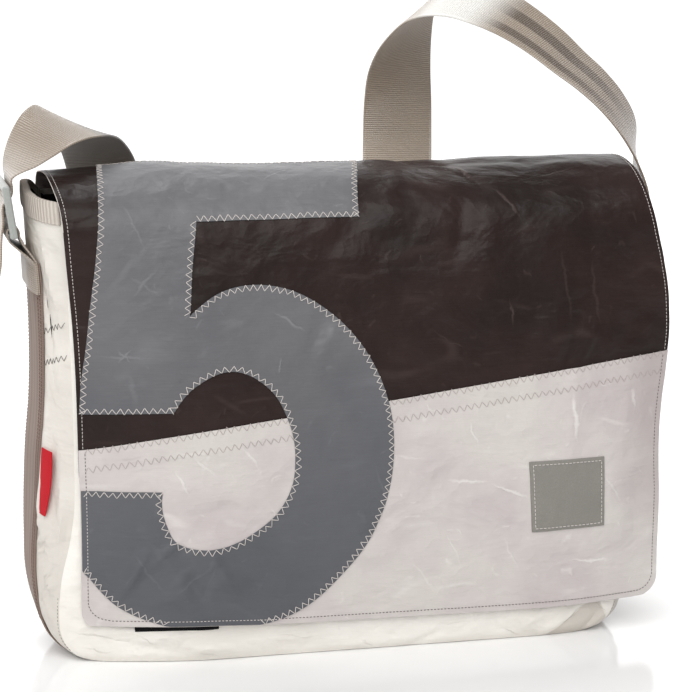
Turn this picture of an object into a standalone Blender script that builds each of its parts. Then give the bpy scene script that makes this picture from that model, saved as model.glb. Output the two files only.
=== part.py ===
"""Sailcloth messenger bag for a laptop: body of front, back and gusset, long front flap, webbing strap.

Metres, +Z up, front towards -Y, origin on the underside of the bag at its middle.
"""
import math

import bmesh
import bpy
import numpy as np
from mathutils import Vector

for old in list(bpy.data.objects):
    bpy.data.objects.remove(old, do_unlink=True)

MM = 0.001

# ------------------------------------------------------------------ driving dimensions
PANEL_CLOTH = 1.5 * MM        # body walls, two layers of sailcloth
LINING_CLOTH = 1.0 * MM
FLAP_CLOTH = 1.0 * MM
FLAP_LAYER = 1.35 * MM        # from the middle of one flap layer to the next
WEB_WIDTH = 50 * MM
WEB_THICK = 1.5 * MM
GAP = 0.35 * MM               # clearance between neighbouring pieces
BODY_CORNER = 24 * MM         # radius of the body's two lower corners
WALL_TOP = 309 * MM           # top of the front and the back wall
RIM_BAND = 13 * MM            # height of the binding on the gusset's rim
FLAP_CORNER = 14 * MM         # radius of the flap's two lower corners
WEB_MIDDLE_Y = 2 * MM         # middle of the webbing on the gusset
STRAP_THICK = 1.6 * MM
BUCKLE_WIDTH = 62 * MM
BUCKLE_THICK = 5 * MM
BUCKLE_AT = (-0.2220, 0.0, 0.3035)      # middle of the buckle
BUCKLE_LEAN = math.radians(8)           # its foot leans in towards the bag


class Table:
    """rows of numbers in millimetres with named columns, read smoothly along the first column"""

    def __init__(self, columns, rows):
        self.names = columns.split()
        self.rows = np.array(rows, float)

    def read(self, name, key):
        return curve(self.rows[:, 0], self.rows[:, self.names.index(name)], key)


def curve(keys, values, q):
    """smooth cubic through (keys, values), read at q"""
    keys, values = np.asarray(keys, float), np.asarray(values, float)
    q = np.clip(np.asarray(q, float), keys[0], keys[-1])
    step = np.diff(keys)
    slope = np.diff(values) / step
    tan = np.empty_like(values)
    tan[0], tan[-1] = slope[0], slope[-1]
    tan[1:-1] = (slope[:-1] * step[1:] + slope[1:] * step[:-1]) / (step[:-1] + step[1:])
    i = np.clip(np.searchsorted(keys, q, side="right") - 1, 0, len(step) - 1)
    h = step[i]
    u = (q - keys[i]) / h
    return ((2 * u**3 - 3 * u**2 + 1) * values[i] + (u**3 - 2 * u**2 + u) * h * tan[i]
            + (3 * u**2 - 2 * u**3) * values[i + 1] + (u**3 - u**2) * h * tan[i + 1])


def smooth(t):
    t = np.clip(t, 0.0, 1.0)
    return t * t * (3 - 2 * t)


# ------------------------------------------------------------------ body
# side view: how far the front and the back wall stand from the bag's middle plane
DEPTH = Table("z front back", [
    (0, 59.0, 48.5), (6, 61.5, 49.5), (15, 64.0, 50.5), (30, 66.0, 51.5), (80, 69.0, 52.5),
    (150, 68.0, 52.0), (225, 63.5, 50.0), (274, 56.3, 48.8), (290, 50.3, 48.2), (303, 42.5, 47.3), (312, 37.0, 46.5)])
# front view: where the front seam, the bulging middle of the gusset and the back seam stand
SIDES = Table("z left_front left_middle left_back right_front right_middle right_back", [
    (0, -199, -212, -201, 187, 199, 191), (24, -199, -212, -201, 187, 199, 191), (60, -195.5, -213, -203, 191, 204, 195),
    (85, -190, -213, -203, 193, 206, 197), (105, -187, -212.5, -203, 195, 208, 200), (140, -186, -210, -202, 197, 211, 202),
    (170, -186, -206, -201, 198, 213, 204), (220, -186.5, -204.5, -200, 200, 216, 206), (270, -187.5, -206.5, -198, 202, 218, 208),
    (290, -188.5, -207.8, -197, 203.4, 215.5, 209), (305, -189, -208.5, -197, 204, 213, 209.5), (320, -190, -209, -197, 204, 210.5, 210)])
# height of the open rim, across the gusset from the front seam (0) to the back seam (1)
RIM = Table("across height", [(0, 309), (0.15, 311), (0.35, 314.5), (0.55, 316.5), (0.75, 318), (0.9, 315), (1, 308)])


def pull(x, height):
    """how far the front falls back towards its two ends"""
    left = 20 * np.clip((-x / MM - 95) / 95, 0, None) ** 1.6
    right = 12 * np.clip((x / MM - 120) / 90, 0, None) ** 1.8
    return (left + right) * MM * (1 - smooth((height - 0.250) / 0.070))


def front_y(x, z):
    return -DEPTH.read("front", z / MM) * MM + pull(x, z)


def back_y(x, z):
    ends = 5 * MM * np.clip((abs(x) - 0.140) / 0.060, 0, 1.2) ** 2
    return DEPTH.read("back", z / MM) * MM - ends


def outline_x(side, line, z):
    """x of one of the three lines on one side, rounded at the lower corner"""
    x = SIDES.read(side + "_" + line, max(z, BODY_CORNER) / MM) * MM
    if z < BODY_CORNER:
        inward = BODY_CORNER - math.sqrt(BODY_CORNER**2 - (BODY_CORNER - z) ** 2)
        x += inward if side == "left" else -inward
    return float(x)


def levels(corner_steps, heights):
    """heights of the rows of a wall: an even arc at the corner, then the given shares up to the rim"""
    arc = [BODY_CORNER * (1 - math.sin(math.pi / 2 * (1 - i / corner_steps))) for i in range(corner_steps)]
    return arc + [BODY_CORNER + h * (WALL_TOP - BODY_CORNER) for h in heights]


def wall(which, zs, shares, lift=0.0006):
    """rows of points of the front or the back wall between its two seams"""
    rows = []
    for z in zs:
        left, right = outline_x("left", which, z), outline_x("right", which, z)
        row = []
        for u in shares:
            x = left + u * (right - left)
            y = front_y(x, z) if which == "front" else back_y(x, z)
            row.append((x, float(y), z + lift * (1 - smooth(z / 0.010))))
        rows.append(row)
    return rows


def stations(zs, shares):
    """the gusset's way round: down the left side, along the bottom, up the right side"""
    return ([("left", z) for z in reversed(zs[1:])] + [("bottom", u) for u in shares]
            + [("right", z) for z in zs[1:]])


def gusset_middle(station, t, inset=0.0022):
    """point of the gusset's middle at a station, t across it from front to back"""
    where, value = station
    belly = 1 - abs(2 * t - 1) ** 4
    if where == "bottom":
        z = 0.0
        x3 = {}
        for line in ("front", "middle", "back"):
            left, right = outline_x("left", line, 0.0), outline_x("right", line, 0.0)
            x3[line] = left + value * (right - left)
    else:
        rim = float(RIM.read("height", t)) * MM
        z = value if value <= BODY_CORNER else BODY_CORNER + (value - BODY_CORNER) * (rim - BODY_CORNER) / (WALL_TOP - BODY_CORNER)
        x3 = {line: outline_x(where, line, z) for line in ("front", "middle", "back")}
    x = x3["front"] + t * (x3["back"] - x3["front"]) + (x3["middle"] - (x3["front"] + x3["back"]) / 2) * belly
    sag = (0.0010 + 0.0019 * belly) * (1 - float(smooth(z / 0.020)))
    front = float(front_y(x3["front"], z)) + inset
    back = float(back_y(x3["back"], z)) - inset
    return Vector((x, front + t * (back - front), z + sag))


def gusset_point(station, t, out=0.0, inset=0.0022):
    """the same point, moved square to the gusset's surface by out"""
    p = gusset_middle(station, t, inset)
    if out == 0.0:
        return p
    d = 0.0002
    where, value = station
    over = gusset_middle(station, t + 0.004, inset) - gusset_middle(station, t - 0.004, inset)
    if where == "bottom":
        along, rough = Vector((1, 0, 0)), Vector((0, 0, -1))
    else:
        along = gusset_middle((where, value + d), t, inset) - gusset_middle((where, value - d), t, inset)
        rough = Vector((-1 if where == "left" else 1, 0, -0.2))
    normal = over.cross(along).normalized()
    if normal.dot(rough) < 0:
        normal = -normal
    return p + normal * out


# ------------------------------------------------------------------ flap
# the flap's middle in side view, from the front hem over the crown to the back hem
FLAP_SIDE = Table("y z", [
    (-69.7, 23.5), (-72.5, 80.0), (-71.5, 150.0), (-67.0, 225.0), (-60.0, 274.0), (-49.0, 303.0), (-31.0, 318.0),
    (-5.0, 326.2), (20.0, 326.0), (41.0, 319.5), (49.6, 309.0), (50.9, 283.0)])
FLAP_ZERO = 3.5 * MM          # length from the hem to the level at which the tables below start
# the flap's two edges and the diagonal seam, by length up from the hem / by x
LEFT_EDGE = Table("length x", [(-4, -184), (120, -184), (211, -185.6), (252, -188.5), (281, -190.9), (310, -194.5), (345, -197), (430, -197)])
RIGHT_EDGE = Table("length x", [(-4, 217.8), (70, 217.6), (106, 216.8), (123, 217.5), (139, 219), (160, 222), (186, 225), (210, 224),
                                (234, 220.5), (260, 214), (280, 209.5), (295, 207.5), (330, 206.3), (430, 206)])
SEAM = Table("x length", [(-200, 121), (-184, 122.8), (-106, 134.0), (-48, 140.8), (20, 148.6), (112, 160.0), (177, 167.4), (226, 171.6)])
CROWN = Table("x rise", [(-200, -2.0), (-185, -1.2), (-150, 0.4), (-60, -1.6), (20, -2.5), (62, -3.5), (110, -1.0), (170, -0.5), (215, -1.8)])

_key = np.concatenate([[0], np.cumsum(np.hypot(*np.diff(FLAP_SIDE.rows, axis=0).T))])
_fine = np.linspace(0, _key[-1], 1200)
_line = np.stack([curve(_key, FLAP_SIDE.rows[:, k], _fine) for k in (0, 1)], 1) * MM
_length = np.concatenate([[0], np.cumsum(np.linalg.norm(np.diff(_line, axis=0), axis=1))]) - FLAP_ZERO
_dir = np.gradient(_line, _length, axis=0)
_dir /= np.linalg.norm(_dir, axis=1)[:, None]
FLAP_END = float(_length[-1])


def flap(x, length, out=0.0):
    """point of the flap's surface at x and at a length up from the hem, moved outwards by out"""
    y, z, ty, tz = (float(np.interp(length, _length, a)) for a in (_line[:, 0], _line[:, 1], _dir[:, 0], _dir[:, 1]))
    p = out - float(pull(x, length + 0.027))
    rise = float(CROWN.read("rise", x / MM)) * MM * float(smooth((length - 0.285) / 0.055))
    rise *= 1 - float(smooth((length - 0.350) / 0.035))
    return Vector((x, y - tz * p, z + ty * p + rise))


def flap_edges(length):
    """x of the flap's left and right edge at a length, with rounded lower corners"""
    r = FLAP_CORNER
    low = min(max(length + 0.0025, 0.0), r)
    inward = r - math.sqrt(r * r - (r - low) ** 2)
    return (float(LEFT_EDGE.read("x", length / MM)) * MM + inward, float(RIGHT_EDGE.read("x", length / MM)) * MM - inward)


def seam_length(x):
    return float(SEAM.read("length", x / MM)) * MM


# ------------------------------------------------------------------ building
def material(name, colour, rough, metal=0.0):
    m = bpy.data.materials.new(name)
    m.use_nodes = True
    b = m.node_tree.nodes["Principled BSDF"]
    b.inputs["Base Color"].default_value = tuple((c / 255) ** 2.2 for c in colour) + (1,)
    b.inputs["Roughness"].default_value = rough
    b.inputs["Metallic"].default_value = metal
    return m


def loft(bm, rows):
    """lay the first row as a chain of edges and extrude each further row from it"""
    chain = [bm.verts.new(p) for p in rows[0]]
    edges = [bm.edges.new(pair) for pair in zip(chain, chain[1:])]
    for row in rows[1:]:
        made = bmesh.ops.extrude_edge_only(bm, edges=edges)["geom"]
        fresh = {v for v in made if isinstance(v, bmesh.types.BMVert)}
        chain = [next(e.other_vert(v) for e in v.link_edges if e.other_vert(v) in fresh) for v in chain]
        for v, p in zip(chain, row):
            v.co = p
        edges = [e for e in made if isinstance(e, bmesh.types.BMEdge) and e.verts[0] in fresh and e.verts[1] in fresh]


def piece(name, mat, grids, thick=None, weld=0.0001):
    """one object from grids of points that share their borders; thick gives cloth its two faces and its rim"""
    bm = bmesh.new()
    for rows in grids:
        loft(bm, rows)
    bmesh.ops.remove_doubles(bm, verts=bm.verts[:], dist=weld)
    bmesh.ops.recalc_face_normals(bm, faces=bm.faces[:])
    mesh = bpy.data.meshes.new(name)
    bm.to_mesh(mesh)
    bm.free()
    mesh.materials.append(mat)
    obj = bpy.data.objects.new(name, mesh)
    bpy.context.scene.collection.objects.link(obj)
    if thick:
        shell = obj.modifiers.new("cloth", "SOLIDIFY")
        shell.thickness = thick
        shell.offset = 0.0
    return obj


white = material("sailcloth_white", (236, 230, 222), 0.45)
brown = material("sailcloth_brown", (58, 46, 43), 0.42)
pale = material("sailcloth_offwhite", (210, 202, 198), 0.45)
grey = material("sailcloth_grey", (122, 122, 124), 0.45)
black = material("lining_black", (14, 13, 13), 0.7)
beige = material("binding_beige", (188, 178, 168), 0.85)
taupe = material("webbing_taupe", (150, 136, 120), 0.5)
patch_grey = material("patch_grey", (144, 141, 137), 0.7)
red = material("tab_red", (190, 46, 55), 0.8)
hook = material("hook_strip_black", (22, 21, 22), 0.95)
plastic = material("buckle_plastic", (164, 165, 159), 0.4)

# body walls
WALL_Z = levels(4, (0, 0.09, 0.18, 0.28, 0.42, 0.57, 0.7, 0.8, 0.88, 0.94, 1.0))
WALL_X = (0, 0.05, 0.11, 0.18, 0.26, 0.4, 0.56, 0.72, 0.82, 0.91, 1)
ACROSS = (0, 0.05, 0.15, 0.3, 0.5, 0.7, 0.85, 0.95, 1)
piece("front_panel", white, [wall("front", WALL_Z, WALL_X)], PANEL_CLOTH)
piece("back_panel", white, [wall("back", WALL_Z, WALL_X)], PANEL_CLOTH)
WAY = stations(WALL_Z, WALL_X)
piece("gusset", white, [[[gusset_point(s, t) for t in ACROSS] for s in WAY]], PANEL_CLOTH)

# lining: the same three walls, welded into one open bag and set inwards
LINING_Z = levels(3, (0, 0.12, 0.24, 0.38, 0.54, 0.7, 0.84, 0.948))
LINING_X = (0, 0.08, 0.2, 0.4, 0.65, 0.87, 1)
LINING_ACROSS = (0.15, 0.3, 0.5, 0.7, 0.85)
LINING_IN = PANEL_CLOTH / 2 + LINING_CLOTH / 2 + 4 * GAP


def lining_wall(which):
    rows = []
    for z in LINING_Z:
        left, right = outline_x("left", which, z) + 0.0045, outline_x("right", which, z) - 0.0045
        row = []
        for u in LINING_X:
            x = left + u * (right - left)
            y = float(front_y(x, z)) + LINING_IN if which == "front" else float(back_y(x, z)) - LINING_IN
            row.append(Vector((x, y, z + 0.0036 * (1 - float(smooth(z / 0.030))))))
        rows.append(row)
    return rows


lining_front, lining_back = lining_wall("front"), lining_wall("back")
lining_side = []
for s in stations(LINING_Z, LINING_X):      # the strip's two borders are the walls' own borders
    where, value = s
    if where == "bottom":
        i, j = 0, LINING_X.index(value)
    else:
        i, j = LINING_Z.index(value), 0 if where == "left" else -1
    lining_side.append([lining_front[i][j]] + [gusset_point(s, t, -LINING_IN) for t in LINING_ACROSS] + [lining_back[i][j]])
piece("lining", black, [lining_front, lining_back, lining_side], LINING_CLOTH, 0.00005)


# binding folded over the rim of each gusset
def binding(side):
    outer = PANEL_CLOTH / 2 + GAP + 0.0007
    inner = -outer
    rows = []
    for drop, out in ((RIM_BAND, outer), (RIM_BAND / 2, outer), (-0.0004, outer), (-0.0013, (outer + inner) / 2),
                      (-0.0004, inner), (RIM_BAND / 2, inner), (RIM_BAND, inner)):
        row = []
        for t in ACROSS[1:-1]:
            p = gusset_point((side, WALL_TOP - max(drop, 0.0003)), t, out)
            row.append(p + Vector((0, 0, max(-drop + 0.0003, 0.0))))
        rows.append(row)
    return rows


piece("gusset_binding_left", beige, [binding("left")], 1.0 * MM)
piece("gusset_binding_right", beige, [binding("right")], 1.0 * MM)


# webbing on the gusset
def across_at(station, y):
    """share across the gusset at which it lies at y"""
    a, b = gusset_point(station, 0.0).y, gusset_point(station, 1.0).y
    return (y - a) / (b - a)


def webbing_rows(way_, out, thick):
    rows = []
    for s in way_:
        row = []
        for side_y in (-WEB_WIDTH / 2, -WEB_WIDTH / 4, 0.0, WEB_WIDTH / 4, WEB_WIDTH / 2):
            p = gusset_point(s, across_at(s, WEB_MIDDLE_Y + side_y), out)
            if s[0] == "bottom" or p.z < thick / 2:
                p.z = thick / 2
            row.append(p)
        rows.append(row)
    return rows


WEB_OUT = PANEL_CLOTH / 2 + 1.7 * GAP + WEB_THICK / 2
TOP_LEFT, TOP_RIGHT = 0.282, 0.274
web_way = ([("left", TOP_LEFT)] + [s for s in WAY if s[0] == "left" and s[1] < TOP_LEFT - 0.004]
           + [s for s in WAY if s[0] == "bottom"] + [s for s in WAY if s[0] == "right" and s[1] < TOP_RIGHT - 0.004]
           + [("right", TOP_RIGHT)])
piece("gusset_webbing", taupe, [webbing_rows(web_way, WEB_OUT, WEB_THICK)], WEB_THICK)

# red tab in the webbing's front seam
tab_rows = []
for z in (0.1440, 0.1340, 0.1220, 0.1100, 0.1000):
    s = ("left", z)
    base = gusset_point(s, across_at(s, WEB_MIDDLE_Y - WEB_WIDTH / 2 - 0.0016), 0.0017)
    tip = gusset_point(s, across_at(s, WEB_MIDDLE_Y - WEB_WIDTH / 2 - 0.0105), 0.0028)
    tab_rows.append([base, base.lerp(tip, 0.5), tip])
piece("side_tab", red, [tab_rows], 1.0 * MM)

# hook-and-loop strip on the front, below the flap's edge
strip_rows = []
for z in (0.0195, 0.0275, 0.0365, 0.0455):
    strip_rows.append([(x, float(front_y(x, z)) - PANEL_CLOTH / 2 - GAP - 0.0006, z) for x in np.linspace(-0.152, -0.094, 6)])
piece("closure_strip", hook, [strip_rows], 1.0 * MM)

# flap: the lower cloth laps over the upper one along the diagonal seam
FLAP_U = (0, 0.03, 0.07, 0.115, 0.165, 0.22, 0.3, 0.4, 0.52, 0.64, 0.75, 0.83, 0.9, 0.96, 1)
CROWN_ROWS = [0.250, 0.262, 0.272, 0.280, 0.288, 0.296, 0.304, 0.314, 0.326, 0.338, 0.350, 0.360, 0.369, 0.377, 0.385, 0.393, 0.404]
lower_rows = []
for v in (0, 0.012, 0.035, 0.075, 0.13, 0.3, 0.5, 0.75, 1.0):
    row = []
    for u in FLAP_U:
        length = v * 0.145
        for _ in range(6):
            left, right = flap_edges(length)
            x = left + u * (right - left)
            hem = (-0.0005 - 0.0018 * float(smooth((x + 0.1) / 0.25))) + 0.002 * float(smooth((-x - 0.05) / 0.06))
            length = hem + v * (seam_length(x) - hem)
        row.append(flap(x, length, FLAP_LAYER))
    lower_rows.append(row)
piece("flap_lower", pale, [lower_rows], FLAP_CLOTH)

upper_rows = []
lap = 0.018
for v in (0, 0.2, 0.4, 0.6, 0.8):
    row = []
    for u in FLAP_U:
        length = 0.130
        for _ in range(6):
            left, right = flap_edges(length)
            x = left + u * (right - left)
            low = seam_length(x) - lap
            length = low + v * (0.250 - low)
        row.append(flap(x, length))
    upper_rows.append(row)
for length in CROWN_ROWS + [FLAP_END]:
    left, right = flap_edges(length)
    upper_rows.append([flap(left + u * (right - left), length) for u in FLAP_U])
piece("flap_upper", brown, [upper_rows], FLAP_CLOTH)

# numeral on the flap: a bar, a stem and a bowl that share their borders
NUMERAL_OUT = FLAP_LAYER + FLAP_CLOTH / 2 + 2 * GAP + 0.0004
STEM = Table("length left right", [(147.5, -183.0, -123.0), (170, -181.1, -117.8), (191, -177.6, -114.0), (211, -175.0, -111.0),
                                   (241, -170.8, -108.4), (272.5, -167.5, -104.0), (296, -165.6, -101.5), (350, -160.0, -96.0)])
BAR_TOP, BAR_FOOT, STEM_FOOT, BOWL_TOP = 0.348, 0.2725, 0.1475, 0.2110
# the bowl's two outlines by angle and distance from its middle
BOWL_AT = (-0.085, 0.114)
BOWL = Table("step outer_angle outer inner_angle inner", [
    (0, 105, 100.4, 139.2, 50.4), (1, 90, 113.5, 112, 56.3), (2, 72, 118.6, 88, 59.7), (3, 50, 116.3, 62, 53.6),
    (4, 25, 112.2, 33, 45.3), (5, 0, 109.0, 0, 42.1), (6, -25, 108.5, -28, 44.2), (7, -48, 110.0, -52, 47.4),
    (8, -68, 114.8, -74, 51.2), (9, -90, 115.6, -96, 58.4), (10, -112, 120.4, -114, 64.0), (11, -127, 124.2, -126, 65.4),
    (12, -139, 122.8, -137, 60.6), (13, -146.5, 121.0, -148, 55.4), (14, -169.6, 101.0, -157.5, 50.2)])


def clamp_to_flap(x, length, margin=0.0006):
    length = max(length, -0.0008 + margin)
    left, _ = flap_edges(length)
    return max(x, left + margin), length


def numeral_point(x, length):
    x, length = clamp_to_flap(x, length)
    return flap(x, length, NUMERAL_OUT)


stem_lengths = [STEM_FOOT, 0.163, 0.179, 0.195, BOWL_TOP, 0.231, 0.250, 0.262, BAR_FOOT, 0.280, 0.288, 0.296, 0.304, 0.314, 0.326, 0.338, BAR_TOP]
stem_rows = []
for length in stem_lengths:
    left, right = (float(STEM.read(k, length / MM)) * MM for k in ("left", "right"))
    stem_rows.append([numeral_point(left + u * (right - left), length) for u in (0, 0.2, 0.4, 0.7, 1)])
bar_rows = []
for length in stem_lengths[stem_lengths.index(BAR_FOOT):]:
    right = float(STEM.read("right", length / MM)) * MM
    end = 0.0048 + 0.0130 * float(smooth((length - BAR_FOOT) / 0.085))
    bar_rows.append([numeral_point(right + u * (end - right), length) for u in (0, 0.2, 0.4, 0.6, 0.8, 1)])
bowl_rows = []
for step in np.linspace(0, 14, 23):
    a, r, b, q = (float(BOWL.read(k, step)) for k in ("outer_angle", "outer", "inner_angle", "inner"))
    o = (BOWL_AT[0] + r * MM * math.cos(math.radians(a)), BOWL_AT[1] + r * MM * math.sin(math.radians(a)))
    i = (BOWL_AT[0] + q * MM * math.cos(math.radians(b)), BOWL_AT[1] + q * MM * math.sin(math.radians(b)))
    bowl_rows.append([numeral_point(o[0] + u * (i[0] - o[0]), o[1] + u * (i[1] - o[1])) for u in (0, 0.25, 0.5, 0.75, 1)])
# the bowl starts on the stem's right side, between its foot and the bowl's top
bowl_rows[0] = [stem_rows[k][-1] for k in (4, 3, 2, 1, 0)]
piece("flap_numeral", grey, [stem_rows, bar_rows, bowl_rows], 0.8 * MM)

# bare patch on the flap
PATCH = Table("length left right", [(51.5, 121.0, 174.0), (101.5, 118.6, 172.8)])
patch_rows = []
for length in (0.0515, 0.068, 0.085, 0.1015):
    left, right = (float(PATCH.read(k, length / MM)) * MM for k in ("left", "right"))
    patch_rows.append([flap(left + u * (right - left), length, NUMERAL_OUT + 0.0001) for u in (0, 0.25, 0.5, 0.75, 1)])
piece("flap_patch", patch_grey, [patch_rows], 1.0 * MM)

# ------------------------------------------------------------------ buckle, its loop and the strap
B_OUT = Vector((-math.cos(BUCKLE_LEAN), 0, -math.sin(BUCKLE_LEAN)))       # away from the bag
B_DOWN = Vector((math.sin(BUCKLE_LEAN), 0, -math.cos(BUCKLE_LEAN)))
B_WIDE = Vector((0, 1, 0))


def at_buckle(wide, down, out):
    return Vector(BUCKLE_AT) + B_WIDE * wide + B_DOWN * down + B_OUT * out


# three-bar slider: a flat plate of cells with the two windows left out, made thick and rounded
wide_cuts = [-BUCKLE_WIDTH / 2, -BUCKLE_WIDTH / 2 + 4.6 * MM, BUCKLE_WIDTH / 2 - 4.6 * MM, BUCKLE_WIDTH / 2]
down_cuts = [v * MM for v in (-18.0, -13.5, -3.0, 1.5, 12.5, 17.0)]
bm = bmesh.new()
grid = [[bm.verts.new(at_buckle(w, d, -BUCKLE_THICK / 2)) for w in wide_cuts] for d in down_cuts]
for i in range(5):
    for j in range(3):
        if j == 1 and i in (1, 3):
            continue
        bm.faces.new((grid[i][j], grid[i][j + 1], grid[i + 1][j + 1], grid[i + 1][j]))
made = bmesh.ops.extrude_face_region(bm, geom=bm.faces[:])["geom"]
bmesh.ops.translate(bm, verts=[g for g in made if isinstance(g, bmesh.types.BMVert)], vec=B_OUT * BUCKLE_THICK)
bmesh.ops.recalc_face_normals(bm, faces=bm.faces[:])
mesh = bpy.data.meshes.new("buckle")
bm.to_mesh(mesh)
bm.free()
mesh.materials.append(plastic)
buckle = bpy.data.objects.new("buckle", mesh)
bpy.context.scene.collection.objects.link(buckle)
edge = buckle.modifiers.new("round", "BEVEL")
edge.width = 1.2 * MM
edge.segments = 2
edge.limit_method = "ANGLE"

# doubled webbing from the gusset round the lowest bar and back
LOOP_THICK = 1.2 * MM
LOOP = Table("step down out", [(0, 17.5, -3.9), (1, 12.6, -3.8), (2, 10.6, -2.0), (3, 10.4, 0.5), (4, 11.4, 3.0), (5, 14.5, 3.9), (6, 19.0, 3.2), (7, 24.0, -0.6)])
LOOP_FOOT = (0.246, 0.253, 0.260, 0.266)
loop_rows = []
inner_layer = WEB_OUT + WEB_THICK / 2 + 1.3 * GAP + LOOP_THICK / 2
outer_layer = inner_layer + LOOP_THICK + GAP
widths = (-24.5 * MM, -12 * MM, 0.0, 12 * MM, 24.5 * MM)


def loop_foot(z, out):
    s = ("left", z)
    return [gusset_point(s, across_at(s, WEB_MIDDLE_Y + w), out) for w in widths]


loop_rows += [loop_foot(z, inner_layer) for z in LOOP_FOOT]
for step in np.arange(0, 7.01, 0.5):
    down, out = float(LOOP.read("down", step)) * MM, float(LOOP.read("out", step)) * MM
    loop_rows.append([at_buckle(w, down, out) for w in widths])
loop_rows += [loop_foot(z, outer_layer) for z in reversed(LOOP_FOOT)]
piece("buckle_loop", taupe, [loop_rows], LOOP_THICK)

# the strap's middle line and the direction across it: turn in plan from +X, rise above level
STRAP = Table("step x y z turn rise", [
    (0, 223, 4, 246, 90, 0), (1, 223, 4, 262, 90, 0), (2, 222.5, 5, 278, 89, 0), (3, 220, 5, 312, 80, 2), (4, 212, 6, 345, 60, 6), (5, 195, 13, 370, 52, 9),
    (6, 176, 24, 388, 48, 12), (7, 159, 35, 404, 44, 15), (8, 142, 47, 417, 42, 19), (9, 123, 61, 428, 40, 26), (10, 104, 80, 433, 41, 29),
    (11, 89, 102, 425, 40, 25), (12, 83, 123, 404, 29, 14), (13, 81, 139, 378, 12, 3), (14, 81, 145, 346, -5, 0), (15, 79, 138, 311, -13, 0),
    (16, 75, 124, 278, -19, 2), (17, 73, 113, 247, -28, 5), (18, 73, 108, 216, -39, 7), (19, 75, 104, 187, -52, 7), (20, 75, 100, 160, -65, 8),
    (21, 71, 95, 136, -77, 11), (22, 60, 89, 116, -86, 15), (23, 41, 85, 102, -91, 18), (24, 17, 84, 95, -92, 18), (25, -9, 85, 95, -92, 17),
    (26, -34, 87, 100, -94, 14), (27, -57, 91, 112, -98, 8), (28, -76, 96, 129, -105, 2), (29, -92, 101, 151, -113, -4), (30, -104, 104, 174, -123, -9),
    (31, -114, 106, 198, -134, -13), (32, -122, 106, 222, -146, -16), (33, -129, 104, 245, -158, -17), (34, -135, 101, 267, -170, -16),
    (35, -140, 96, 287, -183, -13), (36, -144, 89, 304, -194, -8), (37, -148, 81, 318, -201, -3), (38, -154, 69, 332, -206, -1),
    (39, -165, 46, 348, -213, 8), (40, -178, 23, 357, -221, 22), (41, -192, 9, 354, -231, 19), (42, -206, 3.5, 341, -243, 8),
    (43, -216.0, 1, 329, -258, -1)])
# from the last row it runs down behind the top bar, out through the upper window and over the middle bar
TAIL = Table("step down out", [(0, -20.5, -4.4), (1, -15.0, -4.3), (2, -11.0, -3.2), (3, -8.2, 0.0), (4, -5.4, 3.3), (5, -0.8, 4.4),
                               (6, 6.0, 5.2), (7, 13.0, 7.2), (8, 21.0, 9.0), (9, 30.0, 10.6), (10, 40.0, 13.5), (11, 50.0, 18.0)])
strap_rows = []
for step in np.linspace(0, 43, 66):
    x, y, z, turn, rise = (float(STRAP.read(k, step)) for k in ("x", "y", "z", "turn", "rise"))
    a, b = math.radians(turn), math.radians(rise)
    w = Vector((math.cos(a) * math.cos(b), math.sin(a) * math.cos(b), math.sin(b))) * (WEB_WIDTH / 2)
    m = Vector((x, y, z)) * MM
    strap_rows.append([m - w, m, m + w])
for step in np.arange(0, 11.01, 0.5):
    down, out = float(TAIL.read("down", step)) * MM, float(TAIL.read("out", step)) * MM
    strap_rows.append([at_buckle(w, down, out) for w in (-WEB_WIDTH / 2, 0.0, WEB_WIDTH / 2)])
# where the strap is sewn down it lies flat on the gusset's webbing
for k in range(4):
    s = ("right", 0.246 + 0.010 * k)
    out = WEB_OUT + WEB_THICK / 2 + GAP + STRAP_THICK / 2
    strap_rows[k] = [gusset_point(s, across_at(s, WEB_MIDDLE_Y + d), out + 0.0016) for d in (-WEB_WIDTH / 2, 0.0, WEB_WIDTH / 2)]
piece("shoulder_strap", taupe, [strap_rows], STRAP_THICK)

for obj in bpy.data.objects:
    obj.data.shade_smooth()
    obj.data.set_sharp_from_angle(angle=math.radians(35))
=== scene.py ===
"""Looks of the sailcloth messenger bag: fine cloth surfaces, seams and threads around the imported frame."""

import math

import bmesh
import bpy
import numpy as np
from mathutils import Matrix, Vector


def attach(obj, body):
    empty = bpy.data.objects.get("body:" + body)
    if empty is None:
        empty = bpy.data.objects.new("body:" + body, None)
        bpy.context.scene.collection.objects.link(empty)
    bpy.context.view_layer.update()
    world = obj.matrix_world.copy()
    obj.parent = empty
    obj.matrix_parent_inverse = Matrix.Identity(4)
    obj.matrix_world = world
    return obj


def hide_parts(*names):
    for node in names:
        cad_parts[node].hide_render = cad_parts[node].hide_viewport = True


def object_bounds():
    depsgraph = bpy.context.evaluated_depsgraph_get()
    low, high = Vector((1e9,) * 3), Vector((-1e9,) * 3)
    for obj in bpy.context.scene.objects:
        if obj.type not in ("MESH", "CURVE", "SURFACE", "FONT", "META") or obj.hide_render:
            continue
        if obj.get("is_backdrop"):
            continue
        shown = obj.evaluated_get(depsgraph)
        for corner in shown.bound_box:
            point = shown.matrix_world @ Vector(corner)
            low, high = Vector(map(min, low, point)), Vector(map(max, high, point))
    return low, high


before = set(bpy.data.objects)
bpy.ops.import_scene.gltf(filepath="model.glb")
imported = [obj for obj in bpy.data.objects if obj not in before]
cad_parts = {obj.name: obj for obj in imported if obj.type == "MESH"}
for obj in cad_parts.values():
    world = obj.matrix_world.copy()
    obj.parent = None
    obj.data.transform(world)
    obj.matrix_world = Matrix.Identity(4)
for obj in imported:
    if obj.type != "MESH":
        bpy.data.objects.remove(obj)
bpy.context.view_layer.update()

MM = 0.001
DETAIL = 1.0

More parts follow.
